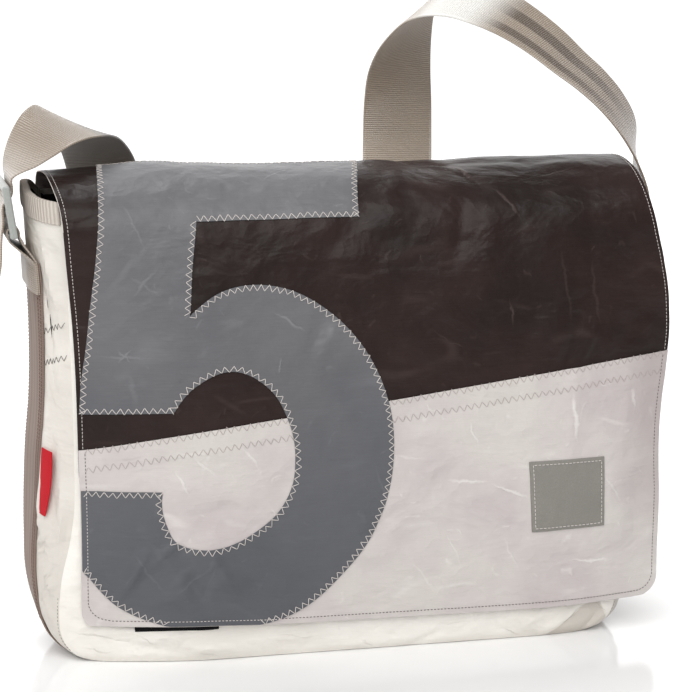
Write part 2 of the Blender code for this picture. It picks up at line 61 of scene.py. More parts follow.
# ------------------------------------------------------------------ shape of the bag
PANEL_CLOTH = 1.1 * MM
FLAP_LAYER = 1.35 * MM
WEB_WIDTH = 50 * MM
BODY_CORNER = 24 * MM
WALL_TOP = 309 * MM
RIM_BAND = 13 * MM
FLAP_CORNER = 14 * MM
WEB_MIDDLE_Y = 2 * MM
BUCKLE_WIDTH = 62 * MM
BUCKLE_THICK = 5 * MM
BUCKLE_AT = np.array((-0.2220, 0.0, 0.3035))
BUCKLE_LEAN = math.radians(8)


class Table:
    """rows of numbers in millimetres with named columns, read smoothly along the first column"""

    def __init__(self, columns, rows):
        self.names = columns.split()
        self.rows = np.array(rows, float)

    def read(self, name, key):
        return curve(self.rows[:, 0], self.rows[:, self.names.index(name)], key)


def curve(keys, values, q):
    """smooth cubic through (keys, values), read at q"""
    keys, values = np.asarray(keys, float), np.asarray(values, float)
    q = np.clip(np.asarray(q, float), keys[0], keys[-1])
    step = np.diff(keys)
    slope = np.diff(values) / step
    tan = np.empty_like(values)
    tan[0], tan[-1] = slope[0], slope[-1]
    tan[1:-1] = (slope[:-1] * step[1:] + slope[1:] * step[:-1]) / (step[:-1] + step[1:])
    i = np.clip(np.searchsorted(keys, q, side="right") - 1, 0, len(step) - 1)
    h = step[i]
    u = (q - keys[i]) / h
    return ((2 * u**3 - 3 * u**2 + 1) * values[i] + (u**3 - 2 * u**2 + u) * h * tan[i]
            + (3 * u**2 - 2 * u**3) * values[i + 1] + (u**3 - u**2) * h * tan[i + 1])


def smooth(t):
    t = np.clip(t, 0.0, 1.0)
    return t * t * (3 - 2 * t)


def unit(v):
    return v / np.maximum(np.linalg.norm(v, axis=-1, keepdims=True), 1e-12)


# even, seeded gradient noise over a plane
_angles = np.random.default_rng(11).random((64, 64)) * 2 * np.pi


def noise(x, y, seed=0):
    x, y = np.asarray(x, float) + 13.7 * seed, np.asarray(y, float) - 7.3 * seed
    xi, yi = np.floor(x).astype(int), np.floor(y).astype(int)
    fx, fy = x - xi, y - yi
    sx, sy = fx**3 * (fx * (fx * 6 - 15) + 10), fy**3 * (fy * (fy * 6 - 15) + 10)

    def corner(dx, dy):
        a = _angles[(xi + dx) % 64, (yi + dy + 5 * seed) % 64]
        return np.cos(a) * (fx - dx) + np.sin(a) * (fy - dy)

    low = corner(0, 0) + sx * (corner(1, 0) - corner(0, 0))
    high = corner(0, 1) + sx * (corner(1, 1) - corner(0, 1))
    return low + sy * (high - low)


_jitter = np.random.default_rng(5).random((64, 64, 2))


def facets(x, y, cell, seed=0):
    """shallow plates of crumpled cloth: 0 on the creases between them, up to 0.5 inside, some up and some down"""
    x, y = np.broadcast_arrays(np.asarray(x, float) / cell, np.asarray(y, float) / cell)
    xi, yi = np.floor(x).astype(int), np.floor(y).astype(int)
    first, second = np.full(x.shape, 9.0), np.full(x.shape, 9.0)
    for dx in (-1, 0, 1):
        for dy in (-1, 0, 1):
            j = _jitter[(xi + dx) % 64, (yi + dy + 7 * seed) % 64]
            d = np.hypot(x - xi - dx - j[..., 0], y - yi - dy - j[..., 1])
            second = np.minimum(second, np.maximum(first, d))
            first = np.minimum(first, d)
    return np.minimum(second - first, 0.5) * np.clip(2.4 * noise(x * 0.7, y * 0.7, seed + 3), -1, 1)


def folds(table, x, y):
    """sum of long soft ridges: each has a middle, a direction, half a length, half a width and a height"""
    total = np.zeros(np.broadcast(x, y).shape)
    for cx, cy, turn, long, wide, high in table.rows:
        a = math.radians(turn)
        dx, dy = x / MM - cx, y / MM - cy
        p = (dx * math.cos(a) + dy * math.sin(a)) / long
        q = (-dx * math.sin(a) + dy * math.cos(a)) / wide
        q = q + 0.35 * noise(dx / (0.9 * long) + cx, dy / (0.9 * long) + cy, 3)
        total = total + high * MM * np.exp(-p * p * 1.2) / (1 + (1.3 * q) ** 2) ** 1.5
    return total


DEPTH = Table("z front back", [
    (0, 59.0, 48.5), (6, 61.5, 49.5), (15, 64.0, 50.5), (30, 66.0, 51.5), (80, 69.0, 52.5),
    (150, 68.0, 52.0), (225, 63.5, 50.0), (274, 56.3, 48.8), (290, 50.3, 48.2), (303, 42.5, 47.3), (312, 37.0, 46.5)])
SIDES = Table("z left_front left_middle left_back right_front right_middle right_back", [
    (0, -199, -212, -201, 187, 199, 191), (24, -199, -212, -201, 187, 199, 191), (60, -195.5, -212, -203, 191, 204, 195),
    (85, -190, -211, -203, 193, 206, 197), (105, -187, -209.7, -203, 195, 208, 200), (140, -186, -207.7, -202, 197, 211, 202),
    (170, -186, -204.8, -201, 198, 213, 204), (220, -186.5, -203.8, -200, 200, 216, 206), (270, -187.5, -206.2, -198, 202, 218, 208),
    (290, -188.5, -207.8, -197, 203.4, 215.5, 209), (305, -189, -208.5, -197, 204, 213, 209.5), (320, -190, -209, -197, 204, 210.5, 210)])
CORNER_SLOPE = Table("z inward", [(0, 6.0), (4, 9.0), (10, 10.6), (19, 8.6), (31, 3.8), (42, 1.6), (52, 0.5), (62, 0.0), (70, 0.0), (78, 0.0), (320, 0.0)])
RIM = Table("across height", [(0, 309), (0.15, 311), (0.35, 314.5), (0.55, 316.5), (0.75, 318), (0.9, 315), (1, 308)])


def pull(x, height):
    left = 20 * np.clip((-x / MM - 95) / 95, 0, None) ** 1.6
    right = 12 * np.clip((x / MM - 120) / 90, 0, None) ** 1.8
    return (left + right) * MM * (1 - smooth((height - 0.250) / 0.070))


def front_y(x, z):
    return -DEPTH.read("front", z / MM) * MM + pull(x, z)


def back_y(x, z):
    ends = 5 * MM * np.clip((abs(x) - 0.140) / 0.060, 0, 1.2) ** 2
    return DEPTH.read("back", z / MM) * MM - ends


def outline_x(side, line, z):
    z = np.asarray(z, float)
    x = SIDES.read(side + "_" + line, np.maximum(z, BODY_CORNER) / MM) * MM
    inward = BODY_CORNER - np.sqrt(np.maximum(BODY_CORNER**2 - np.maximum(BODY_CORNER - z, 0) ** 2, 0))
    if side == "left":
        inward = inward + CORNER_SLOPE.read("inward", z / MM) * MM * {"front": 0.25, "middle": 0.95, "back": 0.95}[line]
    return x + (inward if side == "left" else -inward)


def gusset_middle(where, value, t, inset=0.0022):
    """gusset's middle at one station: value is a height on the sides, a share along the bottom"""
    t = np.asarray(t, float)
    belly = 1 - np.abs(2 * t - 1) ** 4
    if where == "bottom":
        z = np.zeros_like(t)
        x3 = {}
        for line in ("front", "middle", "back"):
            left, right = outline_x("left", line, 0.0), outline_x("right", line, 0.0)
            x3[line] = left + value * (right - left)
    else:
        rim = RIM.read("height", t) * MM
        z = np.where(value <= BODY_CORNER, value, BODY_CORNER + (value - BODY_CORNER) * (rim - BODY_CORNER) / (WALL_TOP - BODY_CORNER))
        x3 = {line: outline_x(where, line, z) for line in ("front", "middle", "back")}
    x = x3["front"] + t * (x3["back"] - x3["front"]) + (x3["middle"] - (x3["front"] + x3["back"]) / 2) * belly
    if where == "left":
        here = smooth((z - 0.030) / 0.050)
        x = x + here * (2.3 * MM * np.exp(-((t - 0.86) / 0.15) ** 2) - 2.0 * MM * np.exp(-((t - 0.33) / 0.15) ** 2))
    sag = (0.0010 + 0.0019 * belly) * (1 - smooth(z / 0.020))
    front = front_y(x3["front"], z) + inset
    back = back_y(x3["back"], z) - inset
    return np.stack([x + 0 * t, front + t * (back - front), z + sag], -1)


def gusset_point(where, value, t, out=0.0, inset=0.0022):
    """the same, moved square to the gusset by out, and the outward direction"""
    t = np.asarray(t, float)
    p = gusset_middle(where, value, t, inset)
    d = 0.0002
    over = gusset_middle(where, value, t + 0.004, inset) - gusset_middle(where, value, t - 0.004, inset)
    if where == "bottom":
        along, rough = np.array((1.0, 0, 0)), np.array((0, 0, -1.0))
    else:
        along = gusset_middle(where, value + d, t, inset) - gusset_middle(where, value - d, t, inset)
        rough = np.array((-1.0 if where == "left" else 1.0, 0, -0.2))
    n = unit(np.cross(over, along + 0 * over))
    n = n * np.where((n @ rough) < 0, -1.0, 1.0)[..., None]
    return p + n * (np.asarray(out)[..., None] if np.ndim(out) else out), n


FLAP_SIDE = Table("y z", [
    (-69.7, 23.5), (-72.5, 80.0), (-71.5, 150.0), (-67.0, 225.0), (-60.0, 274.0), (-49.0, 303.0), (-31.0, 318.0),
    (-5.0, 326.2), (20.0, 326.0), (41.0, 319.5), (49.6, 309.0), (50.9, 283.0)])
FLAP_ZERO = 3.5 * MM
LEFT_EDGE = Table("length x", [(-4, -184), (120, -184), (211, -185.6), (252, -188.5), (281, -190.9), (310, -194.5), (345, -197), (430, -197)])
RIGHT_EDGE = Table("length x", [(-4, 217.8), (70, 217.6), (106, 216.8), (123, 217.5), (139, 219), (160, 222), (186, 225), (210, 224),
                                (234, 220.5), (260, 214), (280, 209.5), (295, 207.5), (330, 206.3), (430, 206)])
SEAM = Table("x length", [(-200, 121), (-184, 122.8), (-106, 134.0), (-48, 140.8), (20, 148.6), (112, 160.0), (177, 167.4), (226, 171.6)])
CROWN = Table("x rise", [(-200, -2.0), (-185, -1.2), (-150, 0.4), (-60, -1.6), (20, -2.5), (62, -3.5), (110, -1.0), (170, -0.5), (215, -1.8)])

_key = np.concatenate([[0], np.cumsum(np.hypot(*np.diff(FLAP_SIDE.rows, axis=0).T))])
_fine = np.linspace(0, _key[-1], 1200)
_line = np.stack([curve(_key, FLAP_SIDE.rows[:, k], _fine) for k in (0, 1)], 1) * MM
_length = np.concatenate([[0], np.cumsum(np.linalg.norm(np.diff(_line, axis=0), axis=1))]) - FLAP_ZERO
_dir = np.gradient(_line, _length, axis=0)
_dir /= np.linalg.norm(_dir, axis=1)[:, None]
FLAP_END = float(_length[-1])

# soft folds and dents that the flap has picked up
FLAP_FOLDS = Table("x length turn long wide high", [
    (62, 345, -52, 20, 9, -2.6), (72, 322, -40, 18, 6, 1.5), (88, 300, -62, 22, 6, -1.1), (40, 352, -8, 26, 8, 1.3),
    (112, 330, -8, 42, 12, -1.0), (150, 318, -4, 44, 14, 0.8), (30, 295, 62, 34, 15, 1.0), (-6, 262, 48, 32, 14, -0.9),
    (92, 250, 80, 32, 13, 0.9), (74, 262, 76, 28, 8, -0.9), (142, 210, 84, 30, 12, 1.1), (160, 178, 66, 20, 5, 1.4),
    (150, 184, 74, 22, 5, -1.2), (178, 190, 80, 24, 9, 0.9), (196, 215, 84, 40, 12, -1.0), (120, 196, 70, 24, 9, -0.8),
    (165, 245, 86, 36, 12, -0.8), (60, 208, 20, 34, 15, 0.6), (-155, 206, 42, 24, 6, 0.9), (-140, 222, 56, 20, 5, -0.7),
    (-28, 196, 58, 20, 5, -1.0), (-20, 188, 66, 24, 6, 0.8), (-120, 320, 24, 26, 7, 0.6), (-150, 40, 62, 20, 5, 2.2),
    (-112, 30, -64, 22, 6, -2.4), (-92, 38, -58, 22, 6, 2.0), (-130, 54, 44, 20, 5, 1.4), (-124, 22, 20, 16, 5, 1.2), (-70, 26, -48, 18, 6, -1.2), (150, 128, 84, 26, 5, 0.8),
    (190, 132, 84, 22, 7, 0.8), (200, 60, 84, 38, 12, -0.8), (60, 70, -12, 30, 6, 0.6), (20, 60, 40, 26, 10, 0.4)])


def flap_relief(x, length):
    x, length = np.asarray(x, float), np.asarray(length, float)
    soft = 0.75 * noise(x / 0.085, length / 0.075, 1) + 0.35 * noise(x / 0.036, length / 0.041, 2)
    crumple = 0.30 - np.abs(noise(x / 0.030 + 0.5 * noise(x / 0.05, length / 0.05, 7), length / 0.034, 4))
    turned_x, turned_l = 0.82 * x + 0.57 * length, -0.57 * x + 0.82 * length
    plates = 1.9 * facets(turned_x, 0.8 * turned_l, 0.038, 1) + 0.45 * facets(x - 0.3 * length, length, 0.019, 2)
    high = soft * MM + 0.45 * crumple * MM + plates * MM + 1.45 * folds(FLAP_FOLDS, x, length)
    foot = np.exp(-(((x + 0.112) / 0.045) ** 2 + ((length - 0.040) / 0.032) ** 2))
    high = high + 3.4 * MM * foot * facets(0.9 * x + 0.4 * length, 0.9 * length - 0.4 * x, 0.027, 9)
    high = high - 2.2 * MM * np.clip((x - 0.150) / 0.066, 0, None) ** 2 * (1 - smooth((length - 0.17) / 0.06))
    calm = smooth((length + 0.004) / 0.035) * (1 - 0.75 * smooth((length - 0.355) / 0.02))
    return high * (0.25 + 0.75 * calm)


def flap(x, length, out=0.0):
    """points of the flap at x and at a length up from the hem, moved outwards by out"""
    x, length = np.broadcast_arrays(np.asarray(x, float), np.asarray(length, float))
    y, z, ty, tz = (np.interp(length, _length, a) for a in (_line[:, 0], _line[:, 1], _dir[:, 0], _dir[:, 1]))
    p = out - pull(x, length + 0.027) + flap_relief(x, length)
    rise = CROWN.read("rise", x / MM) * MM * smooth((length - 0.285) / 0.055) * (1 - smooth((length - 0.350) / 0.035))
    return np.stack([x, y - tz * p, z + ty * p + rise], -1)


def flap_edges(length):
    length = np.asarray(length, float)
    r = FLAP_CORNER
    low = np.clip(length + 0.0025, 0.0, r)
    inward = r - np.sqrt(np.maximum(r * r - (r - low) ** 2, 0))
    return LEFT_EDGE.read("x", length / MM) * MM + inward, RIGHT_EDGE.read("x", length / MM) * MM - inward


def seam_length(x):
    return SEAM.read("length", np.asarray(x) / MM) * MM


def hem_length(x):
    return -0.0005 - 0.0018 * smooth((x + 0.1) / 0.25) + 0.002 * smooth((-x - 0.05) / 0.06)


# ------------------------------------------------------------------ meshes
def quads(nv, nu):
    i = np.arange(nv * nu).reshape(nv, nu)
    return np.stack([i[:-1, :-1], i[:-1, 1:], i[1:, 1:], i[1:, :-1]], -1).reshape(-1, 4)


def joined(grids, join=2e-6):
    """one set of points and quads from grids (points, cloth coordinates) that share borders"""
    points, cloth, faces, base = [], [], [], 0
    for p, uv in grids:
        nv, nu = p.shape[:2]
        faces.append(quads(nv, nu) + base)
        points.append(p.reshape(-1, 3))
        cloth.append(uv.reshape(-1, 2))
        base += nv * nu
    points, cloth, faces = np.concatenate(points), np.concatenate(cloth), np.concatenate(faces)
    if len(grids) > 1:
        _, first, back = np.unique(np.round(points / join).astype(np.int64), axis=0, return_index=True, return_inverse=True)
        back = back.reshape(-1)
        points, cloth, faces = points[first], cloth[first], back[faces]
    return points, cloth, faces


def put(name, points, faces, cloth, mats, smooth_angle=38, face_mat=None):
    mesh = bpy.data.meshes.new(name)
    sizes = np.array([len(f) for f in faces], np.int32) if not isinstance(faces, np.ndarray) else np.full(len(faces), faces.shape[1], np.int32)
    flat = np.concatenate([np.asarray(f) for f in faces]).astype(np.int32) if not isinstance(faces, np.ndarray) else faces.reshape(-1).astype(np.int32)
    mesh.vertices.add(len(points))
    mesh.vertices.foreach_set("co", np.ascontiguousarray(points, np.float32).reshape(-1))
    mesh.loops.add(len(flat))
    mesh.loops.foreach_set("vertex_index", flat)
    mesh.polygons.add(len(sizes))
    mesh.polygons.foreach_set("loop_start", np.concatenate([[0], np.cumsum(sizes)[:-1]]).astype(np.int32))
    mesh.polygons.foreach_set("loop_total", sizes)
    for m in mats:
        mesh.materials.append(m)
    if face_mat is not None:
        mesh.polygons.foreach_set("material_index", np.asarray(face_mat, np.int32))
    mesh.update(calc_edges=True)
    layer = mesh.uv_layers.new(name="cloth")
    layer.data.foreach_set("uv", np.ascontiguousarray(cloth[flat], np.float32).reshape(-1))
    mesh.validate()
    mesh.shade_smooth()
    mesh.set_sharp_from_angle(angle=math.radians(smooth_angle))
    obj = bpy.data.objects.new(name, mesh)
    bpy.context.scene.collection.objects.link(obj)
    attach(obj, "root")
    return obj


def cloth_piece(name, grids, thick, mats, flip=False, rim_mat=None, bulge=0.35):
    """a sheet of cloth with two faces and a rounded rim"""
    points, cloth, faces = joined(grids)
    if flip:
        faces = faces[:, ::-1]
    a, b, c, d = (points[faces[:, k]] for k in range(4))
    n = np.cross(c - a, d - b)
    normal = np.zeros_like(points)
    for k in range(4):
        np.add.at(normal, faces[:, k], n)
    normal = unit(normal)
    edge = np.concatenate([faces[:, [k, (k + 1) % 4]] for k in range(4)])
    edge = edge[edge[:, 0] != edge[:, 1]]
    key = np.sort(edge, 1)
    _, index, count = np.unique(key, axis=0, return_inverse=True, return_counts=True)
    rim = edge[count[index.reshape(-1)] == 1]
    out = np.zeros_like(points)
    side = unit(np.cross(points[rim[:, 1]] - points[rim[:, 0]], normal[rim[:, 0]]))
    np.add.at(out, rim[:, 0], side)
    np.add.at(out, rim[:, 1], side)
    out = unit(out)
    k = len(points)
    top, low = points + normal * thick / 2, points - normal * thick / 2
    used = np.unique(rim)
    where = np.full(k, -1)
    where[used] = np.arange(len(used)) + 2 * k
    middle = points[used] + out[used] * thick * bulge
    everything = np.concatenate([top, low, middle])
    uv = np.concatenate([cloth, cloth, cloth[used]])
    r0, r1 = rim[:, 0], rim[:, 1]
    band = np.concatenate([np.stack([r1, r0, where[r0], where[r1]], 1), np.stack([where[r1], where[r0], r0 + k, r1 + k], 1)])
    all_faces = np.concatenate([faces, faces[:, ::-1] + k, band])
    which = None
    if len(mats) > 1:
        which = np.zeros(len(all_faces), int)
        if rim_mat is not None:
            which[2 * len(faces):] = np.concatenate([rim_mat(points[r0], cloth[r0])] * 2)
        if len(mats) > 2:
            which[len(faces):2 * len(faces)] = 2
    return put(name, everything, all_faces, uv, mats, face_mat=which)


def threads(name, starts, ends, normals, radius, mat, sag=0.25):
    """many short stitches, each a rounded strand that dips into the cloth at both ends"""
    starts, ends, normals = (np.asarray(a, float) for a in (starts, ends, normals))
    along = ends - starts
    side = unit(np.cross(along, normals))
    up = unit(np.cross(side, along))
    share = np.array((0.0, 0.10, 0.3, 0.5, 0.7, 0.90, 1.0))
    lift = np.array((-0.9, 0.05, 0.55, 0.7, 0.55, 0.05, -0.9))
    wide = np.array((0.45, 0.9, 1.0, 1.0, 1.0, 0.9, 0.45))
    turn = np.arange(6) / 6 * 2 * np.pi
    rings = []
    for s, l, w in zip(share, lift, wide):
        centre = starts + along * s + normals * l * radius
        rings.append(centre[:, None] + (side[:, None] * np.cos(turn)[None, :, None] + up[:, None] * np.sin(turn)[None, :, None] * 0.8) * radius * w)
    p = np.stack(rings, 1)                       # stitch, ring, corner, xyz
    m = len(starts)
    base = np.arange(m)[:, None] * 42
    faces = []
    for r in range(6):
        for c in range(6):
            d = (c + 1) % 6
            faces.append(base + np.array([r * 6 + c, r * 6 + d, (r + 1) * 6 + d, (r + 1) * 6 + c])[None])
    for r, order in ((0, (0, 3, 2, 1)), (0, (0, 5, 4, 3)), (6, (0, 1, 2, 3)), (6, (0, 3, 4, 5))):
        faces.append(base + np.array([r * 6 + k for k in order])[None])
    uv = np.zeros((m * 42, 2))
    uv[:, 0] = np.repeat(np.arange(m), 42) * 0.0137
    uv[:, 1] = np.tile(np.repeat(share, 6), m) * 0.003
    return put(name, p.reshape(-1, 3), np.concatenate(faces), uv, [mat], smooth_angle=80)


def resample(line, pitch):
    d = np.concatenate([[0], np.cumsum(np.linalg.norm(np.diff(line, axis=0), axis=1))])
    n = max(int(round(d[-1] / pitch)), 1)
    q = np.linspace(0, d[-1], n + 1)
    return np.stack([np.interp(q, d, line[:, k]) for k in range(line.shape[1])], 1)


# ------------------------------------------------------------------ materials
def rgb(*c):
    c = np.array(c, float) / 255
    return tuple(np.where(c <= 0.04045, c / 12.92, ((c + 0.055) / 1.055) ** 2.4)) + (1.0,)


class Look:
    """a small helper that wires nodes of one material"""

    def __init__(self, name):
        self.m = bpy.data.materials.new(name)
        self.m.use_nodes = True
        self.t = self.m.node_tree
        self.b = self.t.nodes["Principled BSDF"]
        uv = self.add("ShaderNodeUVMap")
        uv.uv_map = "cloth"
        self.uv = self.vec("SCALE", uv.outputs[0], scale=1000.0)     # millimetres of cloth

    def add(self, kind, **props):
        n = self.t.nodes.new(kind)
        for k, v in props.items():
            setattr(n, k, v)
        return n

    def put(self, socket, value):
        if isinstance(value, bpy.types.NodeSocket):
            self.t.links.new(value, socket)
        else:
            socket.default_value = value

    def vec(self, op, a, b=None, scale=None):
        n = self.add("ShaderNodeVectorMath", operation=op)
        self.put(n.inputs[0], a)
        if b is not None:
            self.put(n.inputs[1], b)
        if scale is not None:
            n.inputs["Scale"].default_value = scale
        return n.outputs[0]

    def math(self, op, a, b=0.0, c=0.0, clamp=False):
        n = self.add("ShaderNodeMath", operation=op, use_clamp=clamp)
        for s, v in zip(n.inputs, (a, b, c)):
            self.put(s, v)
        return n.outputs[0]

    def noise(self, coords, scale, detail=3.0, rough=0.5, distort=0.0):
        n = self.add("ShaderNodeTexNoise")
        self.put(n.inputs["Vector"], coords)
        n.inputs["Scale"].default_value = scale
        n.inputs["Detail"].default_value = detail
        n.inputs["Roughness"].default_value = rough
        n.inputs["Distortion"].default_value = distort
        return n

    def ramp(self, value, low, high, a=0.0, b=1.0):
        n = self.add("ShaderNodeMapRange", interpolation_type="SMOOTHSTEP")
        self.put(n.inputs["Value"], value)
        n.inputs["From Min"].default_value, n.inputs["From Max"].default_value = low, high
        n.inputs["To Min"].default_value, n.inputs["To Max"].default_value = a, b
        return n.outputs[0]

    def mix(self, share, a, b, kind="MIX"):
        n = self.add("ShaderNodeMix", data_type="RGBA", blend_type=kind)
        self.put(n.inputs[0], share)
        self.put(n.inputs[6], a)
        self.put(n.inputs[7], b)
        return n.outputs[2]

    def bump(self, height, distance, strength=1.0, base=None):
        n = self.add("ShaderNodeBump")
        self.put(n.inputs["Height"], height)
        n.inputs["Distance"].default_value = distance
        n.inputs["Strength"].default_value = strength
        if base is not None:
            self.put(n.inputs["Normal"], base)
        return n.outputs[0]

    def split(self, vector):
        n = self.add("ShaderNodeSeparateXYZ")
        self.put(n.inputs[0], vector)
        return n.outputs

    def lines(self, coords, cell, width, distort=5.0):
        """crease lines: the borders of a bent network of cells, 1 on a line and 0 elsewhere"""
        bend = self.noise(coords, 0.035, 2.0)
        moved = self.vec("ADD", coords, self.vec("SCALE", bend.outputs["Color"], scale=distort * 6))
        v = self.add("ShaderNodeTexVoronoi", feature="DISTANCE_TO_EDGE")
        self.put(v.inputs["Vector"], moved)
        v.inputs["Scale"].default_value = 1.0 / cell
        return self.ramp(v.outputs["Distance"], 0.0, width / cell, 1.0, 0.0), v.outputs["Distance"]

    def turned(self, coords, degrees, stretch=(1.0, 1.0), shift=(0.0, 0.0)):
        n = self.add("ShaderNodeMapping", vector_type="POINT")
        self.put(n.inputs["Vector"], coords)
        n.inputs["Location"].default_value = (shift[0], shift[1], 0.0)
        n.inputs["Rotation"].default_value = (0.0, 0.0, math.radians(degrees))
        n.inputs["Scale"].default_value = (stretch[0], stretch[1], 1.0)
        return n.outputs[0]

    def strokes(self, coords, scale, width, shift, low, high):
        """thin wandering lines that come and go, 1 on a line and 0 elsewhere"""
        here = self.vec("ADD", coords, (shift, 1.7 * shift, 0.0))
        fac = self.noise(here, scale, 1.2, 0.4).outputs["Fac"]
        line = self.ramp(self.math("ABSOLUTE", self.math("SUBTRACT", fac, 0.5)), 0.0, width, 1.0, 0.0)
        where = self.ramp(self.noise(self.vec("ADD", coords, (3.1 * shift, shift, 0.0)), scale * 1.9, 2.0).outputs["Fac"], low, high)
        return self.math("MULTIPLY", line, where)

    def creases(self, coords, table):
        """single creases: each runs between two cloth points and has half a width and a strength"""
        bend = self.noise(coords, 0.09, 3.0, 0.6)
        moved = self.vec("ADD", coords, self.vec("SCALE", self.vec("SUBTRACT", bend.outputs["Color"], (0.5, 0.5, 0.5)), scale=7.0))
        total = None
        for x0, l0, x1, l1, wide, strength in table.rows:
            n = self.add("ShaderNodeMapping", vector_type="TEXTURE")
            self.put(n.inputs["Vector"], moved)
            n.inputs["Location"].default_value = ((x0 + x1) / 2, (l0 + l1) / 2, 0.0)
            n.inputs["Rotation"].default_value = (0.0, 0.0, math.atan2(l1 - l0, x1 - x0))
            n.inputs["Scale"].default_value = (math.hypot(x1 - x0, l1 - l0) / 2 + 1.4 * wide, 1.4 * wide, 1.0)
            far = self.add("ShaderNodeVectorMath", operation="LENGTH")
            self.put(far.inputs[0], self.vec("MULTIPLY", n.outputs[0], (1.0, 1.0, 0.0)))
            one = self.ramp(far.outputs["Value"], 0.15, 1.0, float(strength), 0.0)
            total = one if total is None else self.math("MAXIMUM", total, one)
        return total

    def finish(self, colour, rough, normal=None, spec=0.5, sheen=0.0):
        self.put(self.b.inputs["Base Color"], colour)
        self.put(self.b.inputs["Roughness"], rough)
        self.b.inputs["Specular IOR Level"].default_value = spec
        if sheen:
            self.b.inputs["Sheen Weight"].default_value = sheen
            self.b.inputs["Sheen Roughness"].default_value = 0.4
        if normal is not None:
            self.put(self.b.inputs["Normal"], normal)
        return self.m


def sailcloth(name, base, tone, mark, mark_share=0.3, rough=0.42, grain=0.05, crumple=1.0, spec=0.5, extra=None, table=None, random=1.0):
    """coated polyester cloth: two drifting tones, crease marks, fine plain weave"""
    k = Look(name)
    drift = k.ramp(k.noise(k.uv, 0.011, 4.0, 0.55).outputs["Fac"], 0.34, 0.68)
    cloud = k.noise(k.uv, 0.035, 5.0, 0.6, 0.6).outputs["Fac"]
    colour = k.mix(drift, base, tone)
    sets = [k.strokes(k.turned(k.uv, 55, (0.45, 1.0)), 0.020, 0.030, 140.0, 0.55, 0.72),
            k.strokes(k.turned(k.uv, -38, (0.45, 1.0)), 0.023, 0.032, 260.0, 0.56, 0.72),
            k.strokes(k.turned(k.uv, 8, (0.5, 1.0)), 0.016, 0.026, 410.0, 0.57, 0.74),
            k.strokes(k.uv, 0.045, 0.030, 77.0, 0.58, 0.70)]
    marks = sets[0]
    for s in sets[1:]:
        marks = k.math("MAXIMUM", marks, s)
    marks = k.math("MULTIPLY", marks, random)
    if table is not None:
        marks = k.math("MAXIMUM", marks, k.creases(k.uv, table))
    scuff = k.ramp(k.noise(k.uv, 0.16, 6.0, 0.7, 1.0).outputs["Fac"], 0.60, 0.78)
    scuff = k.math("MULTIPLY", scuff, k.ramp(k.noise(k.uv, 0.018, 2.0).outputs["Fac"], 0.50, 0.70))
    tinted = k.math("MAXIMUM", marks, k.math("MULTIPLY", scuff, 0.35 * random))
    tinted = k.math("MAXIMUM", tinted, k.math("MULTIPLY", k.ramp(cloud, 0.55, 0.75), 0.36 * random))
    colour = k.mix(k.math("MULTIPLY", tinted, mark_share), colour, mark)
    sep = k.split(k.uv)
    warp = k.math("SINE", k.math("MULTIPLY", sep[0], 2 * math.pi / 0.62))
    weft = k.math("SINE", k.math("MULTIPLY", sep[1], 2 * math.pi / 0.62))
    weave = k.math("MULTIPLY", warp, weft)
    stretch = k.vec("MULTIPLY", k.uv, (0.05, 1.6, 1.0))
    slub = k.noise(stretch, 1.0, 3.0, 0.6).outputs["Fac"]
    grained = k.math("ADD", k.math("MULTIPLY", weave, 0.25), k.math("SUBTRACT", slub, 0.5))
    colour = k.mix(k.math("MULTIPLY", k.ramp(slub, 0.35, 0.75), grain), colour, (0.0, 0.0, 0.0, 1.0))
    if extra is not None:
        colour = extra(k, colour, sep)
    n = k.bump(grained, 0.00005, 0.5)
    n = k.bump(marks, 0.0004 * crumple, 0.8, n)
    for turn_by, cell, deep in ((30, 19.0, 0.0022), (-50, 8.5, 0.00028)):
        v = k.add("ShaderNodeTexVoronoi", feature="F1")
        wander = k.vec("SCALE", k.noise(k.uv, 1.3 / cell, 2.0).outputs["Color"], scale=0.9 * cell)
        k.put(v.inputs["Vector"], k.vec("ADD", k.turned(k.uv, turn_by, (0.7, 1.0)), wander))
        v.inputs["Scale"].default_value = 1.0 / cell
        n = k.bump(v.outputs["Distance"], deep * crumple, 0.5, n)
    n = k.bump(k.noise(k.turned(k.uv, 30, (0.6, 1.0)), 0.030, 3.0, 0.5, 0.8).outputs["Fac"], 0.006 * crumple, 0.5, n)
    n = k.bump(k.noise(k.uv, 0.10, 3.0, 0.5, 0.5).outputs["Fac"], 0.0007 * crumple, 0.45, n)
    r = k.math("ADD", rough, k.math("MULTIPLY", k.math("SUBTRACT", cloud, 0.5), -0.16))
    return k.finish(colour, r, n, spec)


